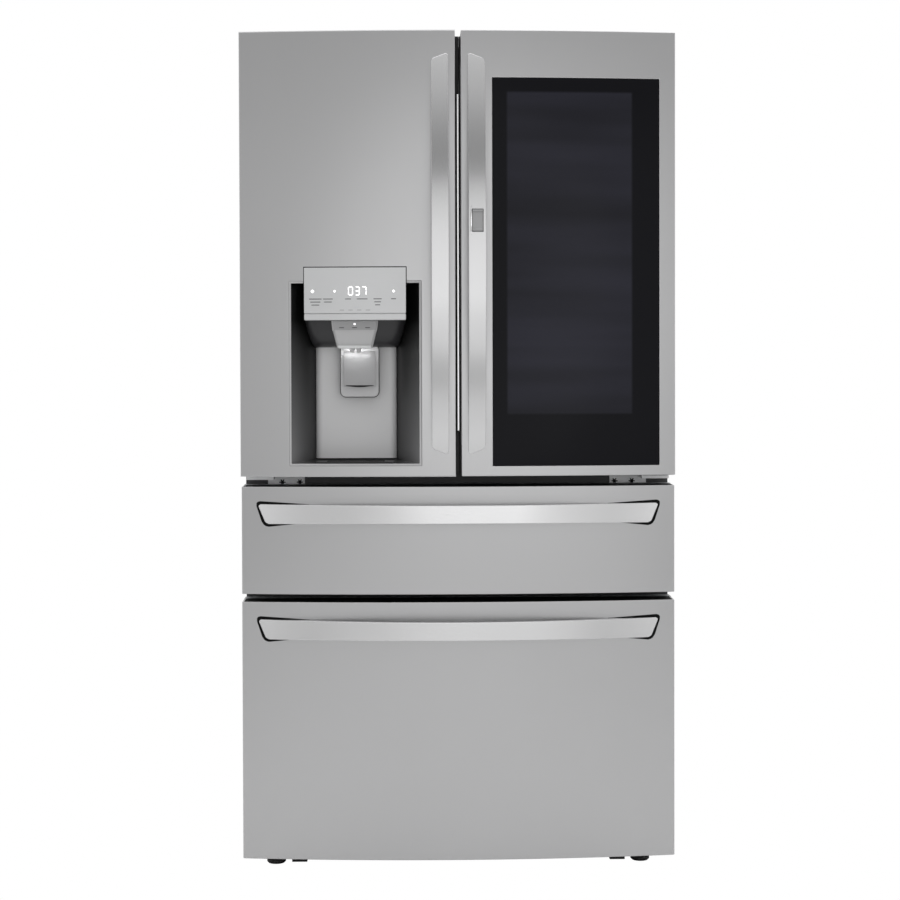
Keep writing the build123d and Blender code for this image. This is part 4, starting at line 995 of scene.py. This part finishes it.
def star(centre, radius, y_low, y_high, name):
    """A six-lobed driver socket seen from the front."""
    outline = []
    for k in range(36):
        angle = 2 * math.pi * k / 36
        reach = radius * (0.72 + 0.28 * math.cos(6 * angle))
        outline.append((centre[0] + reach * math.cos(angle), centre[1] + reach * math.sin(angle)))
    plate(name, outline, y_low, y_high, groove_and_shadow_black, "cabinet")


BOLT_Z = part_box("middle_drawer_skin")[1][2] + 3.5 * MM
BOLT_FACE = -291.6 * MM
BOLT_X = (373 * MM, 336 * MM)
for side_name, sign in (("left", -1), ("right", 1)):
    for index, x in enumerate(BOLT_X):
        name = f"socket_{side_name}_{index}"
        star((sign * x, BOLT_Z), 7.4 * MM, BOLT_FACE - 0.2 * MM, BOLT_FACE + 1 * MM, name)

INNER_HALF = 394 * MM
SHELF_HEIGHTS = (1056 * MM, 1265 * MM, 1480 * MM)
for index, height in enumerate(SHELF_HEIGHTS):
    front = -150 * MM
    box(
        f"shelf_trim_{index}", (-INNER_HALF + 2 * MM, front - 5 * MM, height - 7 * MM),
        (INNER_HALF - 2 * MM, front + 5 * MM, height + 8 * MM), rim_plastic, "cabinet",
        2.5 * MM,
    )
    box(
        f"shelf_back_trim_{index}", (-INNER_HALF + 2 * MM, 364 * MM, height - 3 * MM),
        (INNER_HALF - 2 * MM, 372 * MM, height + 10 * MM), rim_plastic, "cabinet", 2 * MM,
    )
    for side_name, sign in (("left", -1), ("right", 1)):
        x_low, x_high = sorted((sign * (INNER_HALF - 12 * MM), sign * (INNER_HALF - 0.5 * MM)))
        box(
            f"shelf_rail_{index}_{side_name}", (x_low, front + 8 * MM, height - 14 * MM),
            (x_high, 362 * MM, height - 0.5 * MM), white_plastic, "cabinet", 3 * MM,
        )


def rim(name, low, high, width, made, body):
    """A bin's thick rim: a rectangular ring with rounded edges, between two corners."""

    def place(side, x, y):
        return (x, y, high[2] if side == 0 else low[2])

    def filled(x, y):
        return not (low[0] + width < x < high[0] - width and low[1] + width < y < high[1] - width)

    xs = [low[0], low[0] + width, high[0] - width, high[0]]
    ys = [low[1], low[1] + width, high[1] - width, high[1]]
    return grid_solid(name, xs, ys, place, filled, made, body, 1.4 * MM)


# The door bins: which door, the height of a bin, and the heights of their floors
DOOR_BINS = (("right", 105 * MM, (888, 1100, 1296, 1473)), ("left", 110 * MM, (890, 1085)))
for side_name, height, bottoms in DOOR_BINS:
    bin_low, bin_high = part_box(f"{side_name}_door_bins")
    for index, bottom in enumerate(bottoms):
        top = bottom * MM + height
        rim(
            f"{side_name}_bin_rim_{index}", (bin_low[0] - 0.3 * MM, bin_low[1], top - 6 * MM),
            (bin_high[0] + 0.3 * MM, bin_high[1] + 0.5 * MM, top + 0.6 * MM), 5 * MM, rim_plastic,
            f"{side_name}_door",
        )
for drawer in ("middle_drawer", "freezer_drawer"):
    bin_low, bin_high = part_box(f"{drawer}_bin")
    rim(
        f"{drawer}_bin_rim", (bin_low[0] - 0.5 * MM, bin_low[1], bin_high[2] - 9 * MM),
        (bin_high[0] + 0.5 * MM, bin_high[1], bin_high[2] + 0.8 * MM), 6 * MM, rim_plastic, drawer,
    )

ice_low, ice_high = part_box("ice_maker")
box(
    "ice_door", (ice_low[0] + 10 * MM, ice_high[1] - 2 * MM, ice_low[2] + 12 * MM),
    (ice_high[0] - 10 * MM, ice_high[1] + 2.5 * MM, ice_high[2] - 40 * MM), white_plastic, "left_door",
    2 * MM,
)
box(
    "ice_latch", (ice_high[0] - 46 * MM, ice_high[1] + 1 * MM, ice_low[2] + 150 * MM),
    (ice_high[0] - 26 * MM, ice_high[1] + 5 * MM, ice_low[2] + 220 * MM), rim_plastic, "left_door",
    1.8 * MM,
)

# --- Camera and light ----------------------------------------------------------------------

CAMERA_PLACE = (-0.1007, -4.2419, 1.0607)
CAMERA_YAW, CAMERA_PITCH, CAMERA_ROLL = 1.237, -1.116, -0.155
CAMERA_LENS, SENSOR = 74.09, 36.0
FRAMING_SHIFT = -0.0556

camera_data = bpy.data.cameras.new("camera")
camera_data.lens = CAMERA_LENS
camera_data.sensor_width = SENSOR
camera_data.shift_y = FRAMING_SHIFT
camera = bpy.data.objects.new("camera", camera_data)
bpy.context.scene.collection.objects.link(camera)
camera.location = CAMERA_PLACE
aim = Euler((math.radians(90 + CAMERA_PITCH), 0, math.radians(-CAMERA_YAW))).to_quaternion()
camera.rotation_mode = "QUATERNION"
camera.rotation_quaternion = aim @ Quaternion((0, 0, 1), math.radians(CAMERA_ROLL))
bpy.context.scene.camera = camera


def softbox(name, place, target, size, brightness):
    """A soft oval light that faces a target, of a given surface brightness."""
    data = bpy.data.lights.new(name, "AREA")
    data.shape = "ELLIPSE"
    data.size, data.size_y = size
    data.energy = brightness * math.pi * size[0] * size[1] * math.pi / 4
    lamp = bpy.data.objects.new(name, data)
    bpy.context.scene.collection.objects.link(lamp)
    lamp.location = place
    lamp.rotation_euler = (Vector(target) - Vector(place)).to_track_quat("-Z", "Y").to_euler()
    lamp.visible_camera = False
    return lamp


softbox("front_core", (0.12, -1.90, 1.28), (0.12, 0, 1.28), (1.3, 1.15), 0.45)
softbox("front_centre", (0.10, -1.90, 1.10), (0.10, 0, 1.10), (0.7, 0.8), 0.08)
softbox("front_belt", (0.10, -1.92, 0.85), (0.10, 0, 0.85), (1.7, 0.6), 0.11)
softbox("front_below", (0.10, -1.90, 0.62), (0.10, 0, 0.62), (1.2, 0.6), 0.12)
softbox("front_right", (0.85, -1.95, 1.10), (0.85, 0, 1.10), (0.9, 1.4), 0.19)
softbox("front_left", (-0.75, -1.95, 1.10), (-0.75, 0, 1.10), (0.9, 1.4), 0.07)
softbox("front_low", (0.05, -1.90, 0.28), (0.05, 0, 0.45), (2.4, 0.45), 0.23)
softbox("overhead", (0, -0.9, 3.0), (0, -0.3, 0.8), (2.6, 1.4), 0.85)
softbox("dispenser_lamp", (-0.2125, -0.384, 1.0915), (-0.208, -0.352, 1.070), (0.055, 0.008), 22.0)
softbox("rear_fill", (0, 3.4, 2.4), (0, 0, 1.0), (3.0, 2.0), 0.8)

# The sky: pairs of elevation in degrees and brightness, and how much brighter its flanks are
SKY = (
    (-90, 0.62), (0, 0.62), (8, 0.55), (14, 0.28), (19, 0.29), (24, 0.35), (30, 0.57), (38, 0.63),
    (50, 0.80), (68, 0.90), (90, 0.78),
)
FLANK_GAIN = 2.2
world = bpy.data.worlds.new("studio")
bpy.context.scene.world = world
world.use_nodes = True
sky = world.node_tree
coords = sky.nodes.new("ShaderNodeTexCoord")
parts = sky.nodes.new("ShaderNodeSeparateXYZ")
sky.links.new(coords.outputs["Generated"], parts.inputs["Vector"])
height = ramped(sky, parts.outputs["Z"], -1, 1)
ramp = sky.nodes.new("ShaderNodeValToRGB")
stops = ramp.color_ramp.elements
while len(stops) < len(SKY):
    stops.new(0.5)
for stop, (elevation, brightness) in zip(stops, SKY):
    stop.position = (math.sin(math.radians(elevation)) + 1) / 2
    stop.color = (brightness, brightness, brightness, 1)
sky.links.new(height, ramp.inputs["Fac"])
sideways = combined(sky, "ABSOLUTE", parts.outputs["X"])
flank = ramped(sky, sideways, 0.5, 0.95, 1.0, FLANK_GAIN)
lit = sky.nodes.new("ShaderNodeMix")
lit.data_type = "RGBA"
lit.blend_type = "MULTIPLY"
lit.inputs[0].default_value = 1
sky.links.new(ramp.outputs["Color"], lit.inputs[6])
sky.links.new(flank, lit.inputs[7])
light_path = sky.nodes.new("ShaderNodeLightPath")
seen = mix_colors(sky, light_path.outputs["Is Camera Ray"], lit.outputs[2], (1.0, 1.0, 1.0))
sky.links.new(seen, sky.nodes["Background"].inputs["Color"])
bpy.context.scene.view_settings.view_transform = "Standard"

floor_mesh = bmesh.new()
bmesh.ops.create_grid(floor_mesh, x_segments=1, y_segments=1, size=12)
floor_data = bpy.data.meshes.new("floor")
floor_mesh.to_mesh(floor_data)
floor_mesh.free()
floor = bpy.data.objects.new("floor", floor_data)
bpy.context.scene.collection.objects.link(floor)
floor_paint = new_material("floor_paint", (0.82, 0.82, 0.82), 0.6)
paint = floor_paint.node_tree
# Painted shade: the floor turns darker from 2.1 m to 3.3 m in front, dimming what the steel reflects of it;
# camera rays see it white.
far_floor_shade = ramped(paint, object_axes(paint)["Y"], -3.3, -2.1)
floor_color = mix_colors(paint, far_floor_shade, (0.36, 0.36, 0.36), (0.84, 0.84, 0.84))
paint.links.new(floor_color, shader_input(floor_paint, "Base Color"))
white = paint.nodes.new("ShaderNodeEmission")
white.inputs["Color"].default_value = (1, 1, 1, 1)
choose = paint.nodes.new("ShaderNodeMixShader")
path = paint.nodes.new("ShaderNodeLightPath")
paint.links.new(path.outputs["Is Camera Ray"], choose.inputs["Fac"])
paint.links.new(paint.nodes["Principled BSDF"].outputs["BSDF"], choose.inputs[1])
paint.links.new(white.outputs["Emission"], choose.inputs[2])
paint.links.new(choose.outputs["Shader"], paint.nodes["Material Output"].inputs["Surface"])
floor_data.materials.append(floor_paint)
